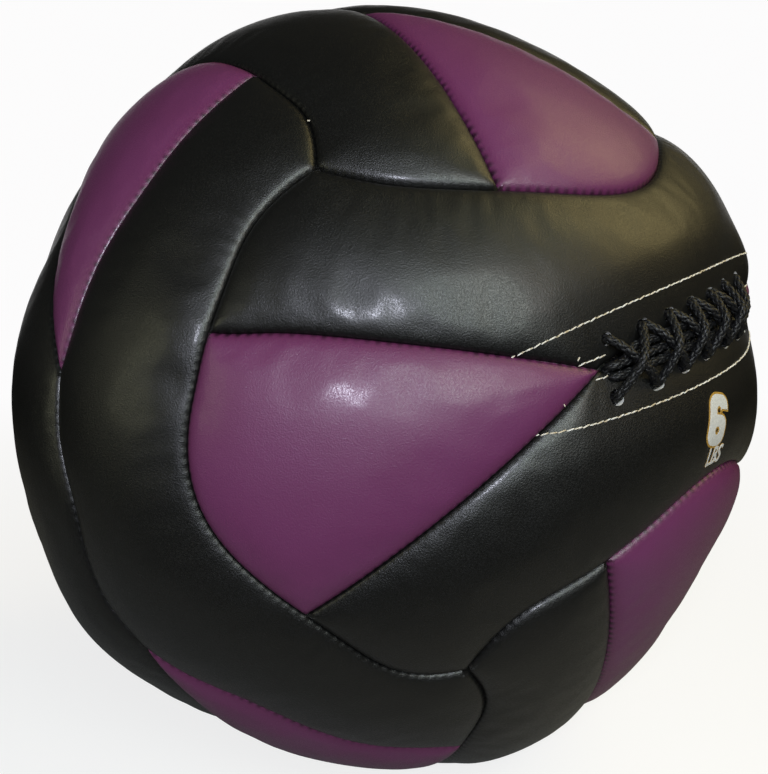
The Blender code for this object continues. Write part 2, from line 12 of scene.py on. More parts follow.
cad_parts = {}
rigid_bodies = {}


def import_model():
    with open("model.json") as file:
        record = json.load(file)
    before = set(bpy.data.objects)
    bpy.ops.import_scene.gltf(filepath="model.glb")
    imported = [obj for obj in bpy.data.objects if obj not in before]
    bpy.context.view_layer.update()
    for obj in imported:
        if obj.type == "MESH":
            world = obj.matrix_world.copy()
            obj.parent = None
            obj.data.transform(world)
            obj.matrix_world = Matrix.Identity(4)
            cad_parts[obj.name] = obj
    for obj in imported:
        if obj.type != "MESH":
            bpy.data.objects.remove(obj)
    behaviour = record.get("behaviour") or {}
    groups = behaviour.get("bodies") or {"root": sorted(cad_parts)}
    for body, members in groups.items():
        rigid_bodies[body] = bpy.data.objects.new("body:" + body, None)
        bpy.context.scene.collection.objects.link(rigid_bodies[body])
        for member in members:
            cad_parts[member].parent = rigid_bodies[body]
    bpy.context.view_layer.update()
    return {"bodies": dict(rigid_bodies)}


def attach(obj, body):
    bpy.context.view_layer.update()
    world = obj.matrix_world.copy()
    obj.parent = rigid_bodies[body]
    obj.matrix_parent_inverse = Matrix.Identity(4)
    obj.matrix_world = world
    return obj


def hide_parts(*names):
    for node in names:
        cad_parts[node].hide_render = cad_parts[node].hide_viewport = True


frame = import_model()
body = next(iter(frame["bodies"]))

# The sand that weights the ball, poured into the middle of it. It is dry, fine and tan, and it
# fills its pouch nearly to the neck, where its top lies level.
BALL_DIAMETER = 0.3556
SAND_DIAMETER = 0.0840
NECK_DIAMETER = 0.0180
SAND_ROUGHNESS = 0.0004
GRAIN_SIZE = 0.0009
CORE_DETAIL = 5
DARK_SAND, PALE_SAND = (0.30, 0.22, 0.13), (0.62, 0.51, 0.35)

ball_radius = BALL_DIAMETER / 2
sand_radius = SAND_DIAMETER / 2
fill_level = sand_radius - NECK_DIAMETER / 4


class Shade:
    """A socket of a finish, which takes part in sums as a number does."""

    def __init__(self, finish, socket):
        self.finish = finish
        self.socket = socket

    def math(self, operation, first, second=0.0):
        settings = {"operation": operation}
        return self.finish.node("ShaderNodeMath", settings, {0: first, 1: second})

    def __add__(self, other):
        return self.math("ADD", self, other)

    def __radd__(self, other):
        return self.math("ADD", other, self)

    def __sub__(self, other):
        return self.math("SUBTRACT", self, other)

    def __rsub__(self, other):
        return self.math("SUBTRACT", other, self)

    def __mul__(self, other):
        return self.math("MULTIPLY", self, other)

    def __rmul__(self, other):
        return self.math("MULTIPLY", other, self)

    def __truediv__(self, other):
        return self.math("DIVIDE", self, other)

    def __pow__(self, other):
        return self.math("POWER", self, other)

    def cosine(self):
        return self.math("COSINE", self)

    def clamped(self):
        return self.math("MINIMUM", self.math("MAXIMUM", self, 0.0), 1.0)

    def stretched(self, gain, cut):
        """Soft noise with its contrast raised, kept between 0 and 1."""
        return (self * gain - cut).clamped()

    def between(self, low, high):
        """0 at the low end, 1 at the high end."""
        return ((self - low) / (high - low)).clamped()


class Tree:
    """A node tree of a material or of the surroundings, and the ways to add nodes to it."""

    def __init__(self, tree):
        self.tree = tree

    def node(self, kind, settings=None, sockets=None, output=0):
        """Adds a node: its type, its settings, then the values or links of its sockets."""
        made = self.tree.nodes.new(kind)
        for name, value in (settings or {}).items():
            setattr(made, name, value)
        for name, value in (sockets or {}).items():
            self.feed(made.inputs[name], value)
        return Shade(self, made.outputs[output])

    def feed(self, socket, value):
        if isinstance(value, Shade):
            self.tree.links.new(value.socket, socket)
        elif socket.type == "RGBA" and len(value) == 3:
            socket.default_value = (*value, 1.0)
        else:
            socket.default_value = value

    def place(self, kind="Object"):
        return self.node("ShaderNodeTexCoord", output=kind)

    def clouds(self, size, detail=2.0):
        """Soft noise with blotches about size across, from 0 to 1."""
        sockets = {"Vector": self.place(), "Scale": 1 / size, "Detail": detail}
        return self.node("ShaderNodeTexNoise", sockets=sockets)

    def cells(self, size):
        """Distance within cells about size across."""
        sockets = {"Vector": self.place(), "Scale": 1 / size}
        return self.node("ShaderNodeTexVoronoi", sockets=sockets)

    def dot(self, place, way):
        """How far a place lies along a way."""
        settings = {"operation": "DOT_PRODUCT"}
        return self.node("ShaderNodeVectorMath", settings, {0: place, 1: tuple(way)}, "Value")

    def blend(self, share, first, second):
        """A colour between two colours, which are the Mix node's sockets 6 and 7."""
        settings = {"data_type": "RGBA"}
        return self.node("ShaderNodeMix", settings, {0: share, 6: first, 7: second}, 2)

    def attribute(self, name):
        return self.node("ShaderNodeAttribute", {"attribute_name": name}, output="Fac")

    def shown(self, share):
        """1 for the camera's rays, and a share for what is mirrored or seen through."""
        camera, mirrored, clear = (self.node("ShaderNodeLightPath", output=f"Is {kind} Ray")
                                   for kind in ("Camera", "Glossy", "Transmission"))
        return (camera + (mirrored + clear) * share).clamped()


class Finish(Tree):
    """A material with its Principled shader, and the nodes that vary it over the surface."""

    def __init__(self, name, **constants):
        self.material = bpy.data.materials.new(name)
        self.material.use_nodes = True
        super().__init__(self.material.node_tree)
        self.shader = self.tree.nodes["Principled BSDF"]
        self.vary(**constants)

    def relief(self, height):
        """Feeds the normal with a bump whose height is in metres."""
        bump = self.node("ShaderNodeBump", sockets={"Height": height, "Distance": 1.0})
        self.feed(self.shader.inputs["Normal"], bump)

    def vary(self, **sockets):
        for name, value in sockets.items():
            self.feed(self.shader.inputs[name.replace("_", " ")], value)
        return self.material

    def patterned(self, pattern, depth, low, high):
        """Raises a pattern to a depth in metres, and colours it from its low to its high parts."""
        self.relief(pattern * depth)
        return self.vary(Base_Color=self.blend(pattern, low, high))


def add_object(name, data):
    made = bpy.data.objects.new(name, data)
    bpy.context.collection.objects.link(made)
    return made


made_pieces = []


def add_piece(name, mesh, material, slot, *nodes):
    """Adds a piece made in the ball's own frame, in place of CAD nodes."""
    piece = add_object(name, mesh)
    made_pieces.append(piece)
    mesh.materials.append(material)
    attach(piece, body)
    if nodes:
        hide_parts(*nodes)
    return piece


def written(bm, mesh):
    bm.to_mesh(mesh)
    bm.free()
    return mesh


def unit(ways):
    return ways / np.linalg.norm(ways, axis=-1, keepdims=True)


def round_form(name, shape, detail):
    """A closed smooth form: shape gives the points in an array of directions."""
    bm = bmesh.new()
    bmesh.ops.create_icosphere(bm, subdivisions=detail, radius=1)
    mesh = written(bm, bpy.data.meshes.new(name))
    ways = np.zeros(len(mesh.vertices) * 3, np.float32)
    mesh.vertices.foreach_get("co", ways)
    points = shape(unit(ways.reshape(-1, 3).astype(float)))
    mesh.vertices.foreach_set("co", points.astype(np.float32).ravel())
    mesh.shade_smooth()
    return mesh


def noise_at(ways, size):
    """Soft noise from about -1 to 1, with lumps about size across at the ball's crowns."""
    return np.array([noise.noise(way) for way in ways * (ball_radius / size)])


def sand_shape(ways):
    points = ways * (sand_radius + noise_at(ways, GRAIN_SIZE) * SAND_ROUGHNESS)[:, None]
    points[:, 2] = points[:, 2].clip(None, fill_level)
    return points


sand_finish = Finish("dry_sand", Roughness=0.95)
dry_sand = sand_finish.patterned(sand_finish.cells(GRAIN_SIZE / 3), GRAIN_SIZE / 3,
                                 DARK_SAND, PALE_SAND)
add_piece("sand_fill", round_form("sand_fill", sand_shape, CORE_DETAIL), dry_sand, "sand", "sand")

# The pouch round the sand, a bag of brown canvas. Its mouth is gathered in folds to a neck and
# tied with a turn of black cord.
POUCH_THICKNESS = 0.0012
POUCH_GAP = 0.0008
NECK_LENGTH = 0.0160
POUCH_FOLDS = 11
POUCH_COLUMNS = 132
POUCH_ROWS = 40
NECK_ROWS = 12
FOLD_DEPTH = 0.0011
FOLD_REACH = 0.0300
CANVAS_THREAD, CANVAS_WOBBLE = 0.0008, 1.5
BANDS_TO_SCALE = 6
DARK_CANVAS, PALE_CANVAS = (0.26, 0.20, 0.13), (0.42, 0.34, 0.23)

pouch_radius = sand_radius + POUCH_GAP + POUCH_THICKNESS
neck_radius = NECK_DIAMETER / 2


def grid_faces(numbers):
    """The faces between rows of vertex numbers, where a repeated number closes a corner."""
    corners = (numbers[:-1, :-1], numbers[:-1, 1:], numbers[1:, 1:], numbers[1:, :-1])
    quads = np.stack(corners, -1).reshape(-1, 4)
    return [tuple(dict.fromkeys(quad)) for quad in quads.tolist()]


def mesh_of(name, points, faces, sharp=None):
    """A smooth mesh of points and faces, with its faces turned out."""
    mesh = bpy.data.meshes.new(name)
    mesh.from_pydata(np.asarray(points).tolist(), [], faces)
    bm = bmesh.new()
    bm.from_mesh(mesh)
    bmesh.ops.recalc_face_normals(bm, faces=bm.faces)
    written(bm, mesh).shade_smooth()
    if sharp:
        mesh.set_sharp_from_angle(angle=sharp)
    return mesh


def pouch_mesh():
    shoulder = math.asin(neck_radius / pouch_radius)
    neck_top = pouch_radius + NECK_LENGTH
    neck_foot = pouch_radius * math.cos(shoulder)
    profile = [(neck_radius, neck_top + (neck_foot - neck_top) * row / NECK_ROWS)
               for row in range(NECK_ROWS)]
    profile += [(pouch_radius * math.sin(angle), pouch_radius * math.cos(angle))
                for angle in np.linspace(shoulder, math.pi, POUCH_ROWS)]
    turns = np.linspace(0, 2 * math.pi, POUCH_COLUMNS, endpoint=False)
    points = []
    for reach, height in profile:
        fade = min(max(1 - (neck_foot - height) / FOLD_REACH, 0.0), 1.0) ** 2
        pinch = 1 + abs(height - (pouch_radius + NECK_LENGTH / 2)) / NECK_LENGTH
        folds = reach - FOLD_DEPTH * fade * pinch * (1 + np.cos(POUCH_FOLDS * turns)) / 2
        points += [(r * math.cos(t), r * math.sin(t), height) for r, t in zip(folds, turns)]
    numbers = np.arange(len(points)).reshape(len(profile), POUCH_COLUMNS)
    numbers[-1] = numbers[-1, 0]
    numbers = np.hstack([numbers, numbers[:, :1]])
    return mesh_of("pouch_canvas", points, grid_faces(numbers))


def thread_bands(finish, thread, way, wobble):
    """Bands of thread across a woven finish, which wobble as cloth does."""
    return finish.node("ShaderNodeTexWave", {"bands_direction": way}, {
        "Vector": finish.place(), "Scale": 1 / thread / BANDS_TO_SCALE,
        "Distortion": wobble})


canvas = Finish("brown_canvas", Roughness=0.9, Sheen_Weight=0.2)
brown_canvas = canvas.patterned(
    thread_bands(canvas, CANVAS_THREAD, "DIAGONAL", CANVAS_WOBBLE), CANVAS_THREAD / 4,
    DARK_CANVAS, PALE_CANVAS)
pouch = add_piece("pouch_canvas", pouch_mesh(), brown_canvas, "pouch_cloth", "sand_pouch")
wall = pouch.modifiers.new("wall", "SOLIDIFY")
wall.thickness = POUCH_THICKNESS
wall.offset = -1

# The tie round the pouch's neck, a turn of twisted black cord pulled tight.
TIE_DIAMETER = 0.0030
TIE_GAP = 0.0003
TIE_TWIST = 0.0040
TIE_STRANDS = 3
TIE_STEPS = 96
TIE_SIDES = 24
LOBE_DEPTH = 0.12
STRING_FLUFF = 0.0005
STRING_ROUGHNESS, FLUFF_ROUGHNESS = 0.6, 0.2
DARK_STRING, PALE_STRING = (0.010, 0.010, 0.011), (0.030, 0.030, 0.032)

tie_reach = neck_radius + TIE_GAP + TIE_DIAMETER / 2
tie_turns = round(2 * math.pi * tie_reach / TIE_TWIST / TIE_STRANDS)
tie_points = []
for turn in np.linspace(0, 2 * math.pi, TIE_STEPS, endpoint=False):
    for side in np.linspace(0, 2 * math.pi, TIE_SIDES, endpoint=False):
        lobe = abs(math.cos(TIE_STRANDS * (side + tie_turns * turn) / 2))
        lobes = 1 - LOBE_DEPTH + LOBE_DEPTH * lobe
        reach = tie_reach + TIE_DIAMETER / 2 * lobes * math.cos(side)
        rise = TIE_DIAMETER / 2 * lobes * math.sin(side)
        tie_points.append((reach * math.cos(turn), reach * math.sin(turn),
                           pouch_radius + NECK_LENGTH / 2 + rise))
numbers = np.arange(len(tie_points)).reshape(TIE_STEPS, TIE_SIDES)
numbers = np.vstack([numbers, numbers[:1]])
tie_mesh = mesh_of("tie", tie_points, grid_faces(np.hstack([numbers, numbers[:, :1]])))
tie_finish = Finish("black_string", Sheen_Weight=0.1)
strands = tie_finish.clouds(STRING_FLUFF, 3.0)
tie_finish.patterned(strands, STRING_FLUFF / 5, DARK_STRING, PALE_STRING)
add_piece("pouch_tie_string", tie_mesh, tie_finish.vary(
    Roughness=STRING_ROUGHNESS + strands * FLUFF_ROUGHNESS), "lace_cord", "pouch_tie")

# The stuffing, cream textile waste packed by hand round the pouch in two halves, so that the ball
# is a little square and swells and sags here and there. It keeps a hollow for the pouch, and
# another behind the mouth, where the lace and the tongue lie.
SQUARENESS_SHARE = 0.072
SQUARENESS_MEAN = 3 / 5
SEAM_DEPTH = 0.0050
PANEL_THICKNESS = 0.0035
LINING_THICKNESS = 0.0012
LINING_GAP = 0.0009
LAYER_GAP = 0.0003
MOUTH_DEPTH = 0.0055
TIP_TO_TIP = 0.1145
HOLE_ROW = 0.0125
FLAP_THICKNESS = 0.0026
FACING_THICKNESS = 0.0012
FACING_GAP = 0.0005
CORD_DIAMETER = 0.0038
CORD_GAP = 0.0006
TONGUE_THICKNESS = 0.0015
TONGUE_OVERLAP = 0.0115
TONGUE_MARGIN = 0.0100
POCKET_CLEARANCE = 0.0025
OVERRUN = 0.0100
LUMP_SIZE = 0.0180
LUMP_DEPTH = 0.0012
FIBRE_SIZE, FIBRE_DETAIL = 0.0016, 6.0
BLOCK_COLUMNS, BLOCK_ROWS = 25, 11
LAYER_DETAIL = 6
DARK_WASTE, PALE_WASTE = (0.50, 0.46, 0.38), (0.74, 0.71, 0.64)

# Each swell has a direction, a rise, and a spread in degrees
SWELLS = (
    ((0.45, -0.88, -0.14), -0.0050, 13),
    ((0.47, -0.82, 0.30), 0.0035, 13),
    ((0.22, -0.72, -0.66), -0.0042, 18),
    ((-0.70, 0.35, 0.62), -0.0040, 13),
    ((-0.92, 0.24, -0.30), 0.0034, 10),
    ((-0.80, 0.60, 0.03), -0.0034, 10),
    ((-0.30, -0.26, -0.92), 0.0018, 10),
    ((0.385, -0.920, 0.055), 0.0050, 5.5),
    ((-0.865, -0.375, 0.335), 0.0012, 5),
    ((-0.908, -0.350, 0.231), -0.0007, 2.5),
    ((-0.64, -0.25, -0.72), 0.0014, 14),
    ((0.50, -0.86, -0.01), -0.0015, 5),
)

X, Y, Z = np.eye(3)
panel_depth = SEAM_DEPTH + PANEL_THICKNESS
lining_depth = panel_depth + LINING_GAP
stuffing_depth = lining_depth + LINING_THICKNESS + LAYER_GAP
facing_depth = FLAP_THICKNESS + FACING_GAP + FACING_THICKNESS
cord_pitch = CORD_DIAMETER + CORD_GAP
cord_radius = CORD_DIAMETER / 2
near_depth = MOUTH_DEPTH + facing_depth + CORD_DIAMETER * 3 / 4
far_depth = near_depth + cord_pitch
tongue_depth = far_depth + cord_radius + CORD_GAP
pocket_depth = tongue_depth + TONGUE_THICKNESS + LAYER_GAP
tongue_reach = TIP_TO_TIP / 2 + TONGUE_MARGIN
tongue_half_width = HOLE_ROW + TONGUE_OVERLAP


def nearness(ways, way, spread):
    """1 in a direction, and less away from it, over a spread in degrees."""
    away = 1 - ways @ unit(np.array(way))
    return np.exp(-away / (1 - math.cos(math.radians(spread))))


def even_radius(ways):
    """Distance from the centre to the crowns of an evenly stuffed ball."""
    squareness = (ways ** 4).sum(-1) - SQUARENESS_MEAN
    return ball_radius * (1 + SQUARENESS_SHARE * squareness)


def form_radius(ways, depth=0.0):
    """Distance from the centre to the layer that lies depth below the crowns."""
    reach = even_radius(ways) - depth
    for way, rise, spread in SWELLS:
        reach = reach + rise * nearness(ways, way, spread)
    return reach


def mouth_ways(x, y):
    """Directions at places x along the mouth and y across it."""
    turn, rise = np.asarray(x, float) / ball_radius, np.asarray(y, float) / ball_radius
    turn, rise = turn[..., None], rise[..., None]
    return (X * np.sin(turn) - Y * np.cos(turn)) * np.cos(rise) + Z * np.sin(rise)


def solid_of(name, ways, top, bottom, sharp=None, coarse=1):
    """A closed solid on a grid of directions between two reaches, with a coarser underside."""
    rows, columns = ways.shape[:2]
    numbers = np.arange(rows * columns).reshape(rows, columns)
    if np.ptp(ways[-1], axis=0).max() < LAYER_GAP:
        numbers[-1] = numbers[-1, 0]
    under = numbers[::coarse, ::coarse]
    points = (ways * top[..., None]).reshape(-1, 3)
    below = (ways * bottom[..., None]).reshape(-1, 3)[under.ravel()]
    under_numbers = np.arange(len(below)).reshape(under.shape) + len(points)
    if numbers[-1, 0] == numbers[-1, -1]:
        under_numbers[-1] = under_numbers[-1, 0]

    def rim(grid):
        loop = [*grid[0, :-1], *grid[:-1, -1], *grid[-1, :0:-1], *grid[:0:-1, 0]]
        return list(dict.fromkeys(int(number) for number in loop))

    faces = grid_faces(numbers) + grid_faces(under_numbers)
    upper, lower = rim(numbers), rim(under_numbers)
    for place, number in enumerate(lower):
        run = [upper[(place * coarse + step) % len(upper)] for step in range(coarse + 1)]
        faces.append((lower[(place + 1) % len(lower)], number, *run))
    points = np.vstack([points, below])
    used = np.unique([number for face in faces for number in face])
    renumber = {int(old): new for new, old in enumerate(used)}
    faces = [tuple(renumber[number] for number in face) for face in faces]
    return mesh_of(name, points[used], faces, sharp), used


def mouth_block(name, reach, half_width, top, bottom):
    """A curved block under the mouth, for the hollow behind it or for the tongue."""
    xs, ys = np.meshgrid(np.linspace(-reach, reach, BLOCK_COLUMNS),
                         np.linspace(-half_width, half_width, BLOCK_ROWS))
    ways = mouth_ways(xs, ys)
    return solid_of(name, ways, form_radius(ways, top), form_radius(ways, bottom))[0]


def evaluated(piece):
    bpy.context.view_layer.update()
    return piece.evaluated_get(bpy.context.evaluated_depsgraph_get())


def cut_with(piece, mesh, material=None, operation="DIFFERENCE"):
    """Cuts a piece with a mesh made in the ball's own frame, and keeps the result."""
    cutter = add_object("cutter", mesh)
    boolean = piece.modifiers.new("cut", "BOOLEAN")
    boolean.operation = operation
    boolean.object = cutter
    if material:
        mesh.materials.append(material)
        boolean.material_mode = "TRANSFER"
    made = bpy.data.meshes.new_from_object(evaluated(piece))
    old = piece.data
    piece.modifiers.remove(boolean)
    piece.data = made
    bpy.data.objects.remove(cutter)
    bpy.data.meshes.remove(old)
    made.name = piece.name


stuffing_finish = Finish("stuffing_waste", Roughness=0.95, Sheen_Weight=0.3)
fibres = stuffing_finish.clouds(FIBRE_SIZE, FIBRE_DETAIL)
stuffing_finish.relief(fibres * FIBRE_SIZE)
stuffing_finish.vary(Base_Color=stuffing_finish.blend(
    stuffing_finish.clouds(LUMP_SIZE), DARK_WASTE, PALE_WASTE))


def stuffing_shape(ways):
    lumps = LUMP_DEPTH * (noise_at(ways, LUMP_SIZE) - 1)
    return ways * (form_radius(ways, stuffing_depth) + lumps)[:, None]


def pouch_space_shape(ways):
    """The hollow for the pouch, drawn up to its neck and tie."""
    points = ways * (pouch_radius + 2 * POUCH_GAP)
    neck = neck_radius + TIE_DIAMETER + 2 * LAYER_GAP
    drawn = (ways[:, 2] > 0) & (np.hypot(points[:, 0], points[:, 1]) < neck)
    points[drawn, 2] = pouch_radius + NECK_LENGTH + 2 * POUCH_GAP
    return points


def mouth_pocket():
    """The room behind the mouth."""
    return mouth_block("pocket", tongue_reach + POCKET_CLEARANCE,
                       tongue_half_width + POCKET_CLEARANCE, -OVERRUN, pocket_depth)


for sign, side in ((-1, "front"), (1, "rear")):
    half = add_piece(f"stuffing_pack_{side}", round_form("pack", stuffing_shape, LAYER_DETAIL),
                     stuffing_finish.material, "stuffing", f"stuffing_{side}")
    bm = bmesh.new()
    bmesh.ops.create_cube(bm, size=2 * BALL_DIAMETER)
    bmesh.ops.translate(bm, vec=(0, sign * (BALL_DIAMETER + LAYER_GAP / 2), 0), verts=bm.verts)
    cut_with(half, written(bm, bpy.data.meshes.new("keep")), operation="INTERSECT")
    cut_with(half, round_form("hollow", pouch_space_shape, CORE_DETAIL))
    if side == "front":
        cut_with(half, mouth_pocket())

# The lining, a grey knitted bag between the stuffing and the panels. It is open behind the
# mouth, where the stuffing goes in.
KNIT_SIZE = 0.0014
PALE_KNIT, DARK_KNIT = (0.47, 0.47, 0.48), (0.30, 0.30, 0.31)

lining_finish = Finish("grey_knit", Roughness=0.9, Sheen_Weight=0.2)
grey_knit = lining_finish.patterned(lining_finish.cells(KNIT_SIZE), KNIT_SIZE / 3,
                                    PALE_KNIT, DARK_KNIT)


def layer_form(name, depth):
    """A form like the ball's, at a depth below its crowns."""
    return round_form(name, lambda ways: ways * form_radius(ways, depth)[:, None], LAYER_DETAIL)


lining = add_piece("lining_bag", layer_form("lining_bag", lining_depth), grey_knit,
                   "lining_cloth", "lining")
cut_with(lining, layer_form("space", lining_depth + LINING_THICKNESS))
cut_with(lining, mouth_pocket())

# The cover: twenty-four panels of coated leather over foam, two black bands and two purple
# wedges to each face of a cube drawn on the ball. They are sewn inside out and turned, so that
# each one swells between its seams, where the stitches gather the leather.
CROWN_RUN = 0.0240
SEAM_GAP = 0.0003
SAG_EDGE = 0.0010
WEDGE_BASE_SHARE = 0.514
BULGE_SHARES = (0.48, -0.27, 0.54, 0.31)
MOUTH_HALF_WIDTH = 0.0050
MOUTH_RUN = 0.0320
HEM_RADIUS = 0.0011
FLAP_WIDTH = 0.0265
FLAP_EASE = 0.0080
SIDE_STEPS = 72
MIDDLE_STEPS = 72
BASE_STEPS = 80
BAND_ROWS = 36
WEDGE_ROWS = 64
UNDER_STEP = 4
EDGE_CROWDING = 0.55
END_POINTS = 161
SIDE_POINTS = 61
MOUTH_POINTS = 121
SKIN_DETAIL = 7
SLACK_SHARE = 0.012
PRESSURE = 4.0
SIM_FRAMES = 5
PIN_REACH = 0.0020
RISE_SHARE = 0.4
RISE_CAP = 0.0025
CALM_REACH = 0.0060
MOUTH_CALM = 0.0150
PUCKER_PITCH = 0.0066
PUCKER_PEAK = 0.0030
PUCKER_SINK = 0.35
SHIFT_SHARE, SHIFT_PITCHES = 0.9, 7
STRENGTH_MEAN, STRENGTH_SWING, STRENGTH_PITCHES = 0.55, 0.75, 9
STRENGTH_LEAST, STRENGTH_MOST = 0.1, 1.3
WANDER_SHARES = (1.0, 0.61, 0.37)
FIRST_SEED, PANEL_SEEDS, SEAM_SEEDS = 11, 100, 7
BAND_OUTER, BAND_INNER, BAND_END = 0.00006, 0.00005, 0.00007
WEDGE_BASE, WEDGE_SIDE = 0.00005, 0.00007
CROWN_BLEND = 5.0
MOUTH_BLEND = 5.0
MOUTH_POWER = 1.5
SMOOTH_ROUNDS = 12
SMOOTH_START = 0.0030
SMOOTH_REACH = 0.0080
SHARP_ANGLE = math.radians(60)
SAG = 0.0035
FLAT_CUT = 0.0005
MOUTH_TILT = math.radians(16.3)
SIDE_TILT = math.radians(7.5)

# Some seams were sewn off their regular places. Each drift has a direction, the way that the
# panels move there, and a spread in degrees
DRIFTS = (
    ((-0.58, -0.57, 0.58), (0.0010, -0.0004, 0.0032), 9),
    ((-0.84, -0.44, 0.32), (-0.0016, 0.0010, -0.0018), 6),
    ((-0.42, -0.32, 0.85), (0.0006, -0.0003, 0.0020), 6),
    ((-0.83, -0.11, 0.55), (0.0009, 0.0042, 0.0020), 11),
    ((-0.60, -0.25, 0.76), (0.0014, 0.0040, 0.0025), 11),
    ((-0.48, -0.73, 0.49), (0.0021, 0.0007, 0.0032), 7),
    ((0.34, -0.94, 0.00), (0.0062, 0.0021, 0.0000), 6),
    ((-0.66, -0.22, -0.72), (0.0025, 0.0050, -0.0040), 11),
    ((-0.92, -0.05, -0.38), (0.0020, 0.0060, -0.0050), 8),
    ((-0.66, -0.52, -0.54), (0.0010, 0.0020, -0.0035), 8),
    ((-0.98, -0.01, -0.18), (0.0000, 0.0115, -0.0018), 10),
    ((-0.98, 0.00, 0.17), (0.0000, 0.0040, 0.0000), 7),
    ((-0.91, 0.38, 0.01), (0.0046, 0.0110, 0.0000), 10),
)

attitude = Matrix.Rotation(-SIDE_TILT, 3, "Y") @ Matrix.Rotation(-MOUTH_TILT, 3, "X")
down = np.array(attitude.transposed() @ Vector((0, 0, -1)))
rest_height = float(even_radius(down)) - SAG
ball_place = Matrix.Translation((0, 0, rest_height - FLAT_CUT)) @ attitude.to_4x4()
tip_angle = TIP_TO_TIP / BALL_DIAMETER
FACES = {
    "front": (-Y, X, Z, ("left", "right"), ("lower", "upper")),
    "back": (Y, X, Z, ("left", "right"), ("lower", "upper")),
    "left": (-X, Z, Y, ("bottom", "top"), ("front", "rear")),
    "right": (X, Z, Y, ("bottom", "top"), ("front", "rear")),
    "top": (Z, Y, X, ("front", "rear"), ("left", "right")),
    "bottom": (-Z, Y, X, ("front", "rear"), ("left", "right")),
}


def end_seam(outward, along, across, shares):
    """The seam at the end of a face that looks along along, at shares of its half width."""
    shares = np.asarray(shares, float)[:, None]
    powers = sum(term * shares ** (2 * power) for power, term in enumerate(BULGE_SHARES))
    lean = (1 - shares ** 2) * powers
    return unit(outward * (1 - lean) + along * (1 + lean) + across * shares)


def wedge_side(outward, along, across, shares):
    """A wedge's side, at shares of the way from its base to its tip."""
    base = end_seam(outward, along, across, [WEDGE_BASE_SHARE])[0]
    tip = outward * math.cos(tip_angle) + along * math.sin(tip_angle)
    return unit(base + (tip - base) * np.asarray(shares, float)[:, None])


def middle_seam(outward, along, across, shares, opening=0.0):
    """A face's middle seam between the wedge tips, or one edge of the mouth in its place."""
    shares = np.asarray(shares, float)[:, None]
    angle = tip_angle * shares
    spread = opening / ball_radius * np.sqrt(1 - shares ** 2)
    return unit(outward * np.cos(angle) + along * np.sin(angle) + across * spread)


def running(path, scale=ball_radius):
    """Running length along a path: of directions on the ball, or of points where scale is 1."""
    steps = np.linalg.norm(np.diff(path, axis=0), axis=1) * scale
    return np.concatenate([[0.0], np.cumsum(steps)])


def spread_shares(count):
    """Shares from 0 to 1, closer together near both ends."""
    even = np.linspace(0, 1, count + 1)
    return even - EDGE_CROWDING * np.sin(2 * math.pi * even) / (2 * math.pi)


def filled(first, last, starts, ends, u, v):
    """Directions over a four-sided patch, blended from its sides."""
    u, v = u[None, :, None], v[:, None, None]
    points = first[None] * (1 - v) + last[None] * v
    points = points + starts[:, None] * (1 - u) + ends[:, None] * u
    points = points - first[0] * (1 - u) * (1 - v) - first[-1] * u * (1 - v)
    return unit(points - last[0] * (1 - u) * v - last[-1] * u * v)


def band_ways(outward, along, across, opening):
    """A band's grid of directions: rows from the middle seam out, columns along the seam."""
    side = np.linspace(0, 1, SIDE_STEPS + 1)
    middle = np.linspace(-1, 1, MIDDLE_STEPS + 1)[1:-1]
    inner = np.vstack([wedge_side(outward, -along, across, side),
                       middle_seam(outward, along, across, middle, opening),
                       wedge_side(outward, along, across, side[::-1])])
    ends = WEDGE_BASE_SHARE + (1 - WEDGE_BASE_SHARE) * side
    places = np.concatenate([-ends[::-1], WEDGE_BASE_SHARE * middle, ends])
    outer = end_seam(across, outward, along, places)
    rows = spread_shares(BAND_ROWS)
    ends = WEDGE_BASE_SHARE + (1 - WEDGE_BASE_SHARE) * rows
    u = (running(inner) / running(inner)[-1] + running(outer) / running(outer)[-1]) / 2
    return filled(inner, outer, end_seam(outward, -along, across, ends),
                  end_seam(outward, along, across, ends), u, rows)


def wedge_ways(outward, along, across):
    """A wedge's grid of directions: rows from its base to its tip."""
    places = WEDGE_BASE_SHARE * (2 * spread_shares(BASE_STEPS) - 1)
    base = end_seam(outward, along, across, places)
    rows = np.linspace(0, 1, WEDGE_ROWS + 1)
    rows = rows - EDGE_CROWDING / 2 * np.sin(math.pi * rows) / math.pi
    starts = wedge_side(outward, along, -across, rows)
    ends = wedge_side(outward, along, across, rows)
    tips = np.repeat(starts[-1:], len(base), axis=0)
    return filled(base, tips, starts, ends, spread_shares(BASE_STEPS), rows)


# Each seam of a panel: its path, its running length, and how deep the leather puckers along it
end_shares = np.linspace(-1, 1, END_POINTS)
end_run = running(end_seam(X, Y, Z, end_shares))
end_run = end_run - end_run[len(end_run) // 2]


def end_border(outward, along, across, low, high, gather):
    inside = (end_shares > low) & (end_shares < high)
    shares = np.concatenate([[low], end_shares[inside], [high]])
    path = end_seam(outward, along, across, shares)
    return path, np.interp(shares, end_shares, end_run), gather


def side_border(outward, along, across, gather):
    path = wedge_side(outward, along, across, np.linspace(0, 1, SIDE_POINTS))
    return path, running(path), gather


def middle_border(outward, along, across, gather):
    path = middle_seam(outward, along, across, np.linspace(-1, 1, SIDE_POINTS))
    return path, running(path), gather


def band_borders(outward, along, across):
    low, high = -WEDGE_BASE_SHARE, WEDGE_BASE_SHARE
    return [
        end_border(across, outward, along, -1, 1, BAND_OUTER),
        end_border(outward, -along, across, high, 1, BAND_END),
        end_border(outward, along, across, high, 1, BAND_END),
        side_border(outward, -along, across, BAND_INNER),
        side_border(outward, along, across, BAND_INNER),
        middle_border(outward, along, across, BAND_INNER),
    ]


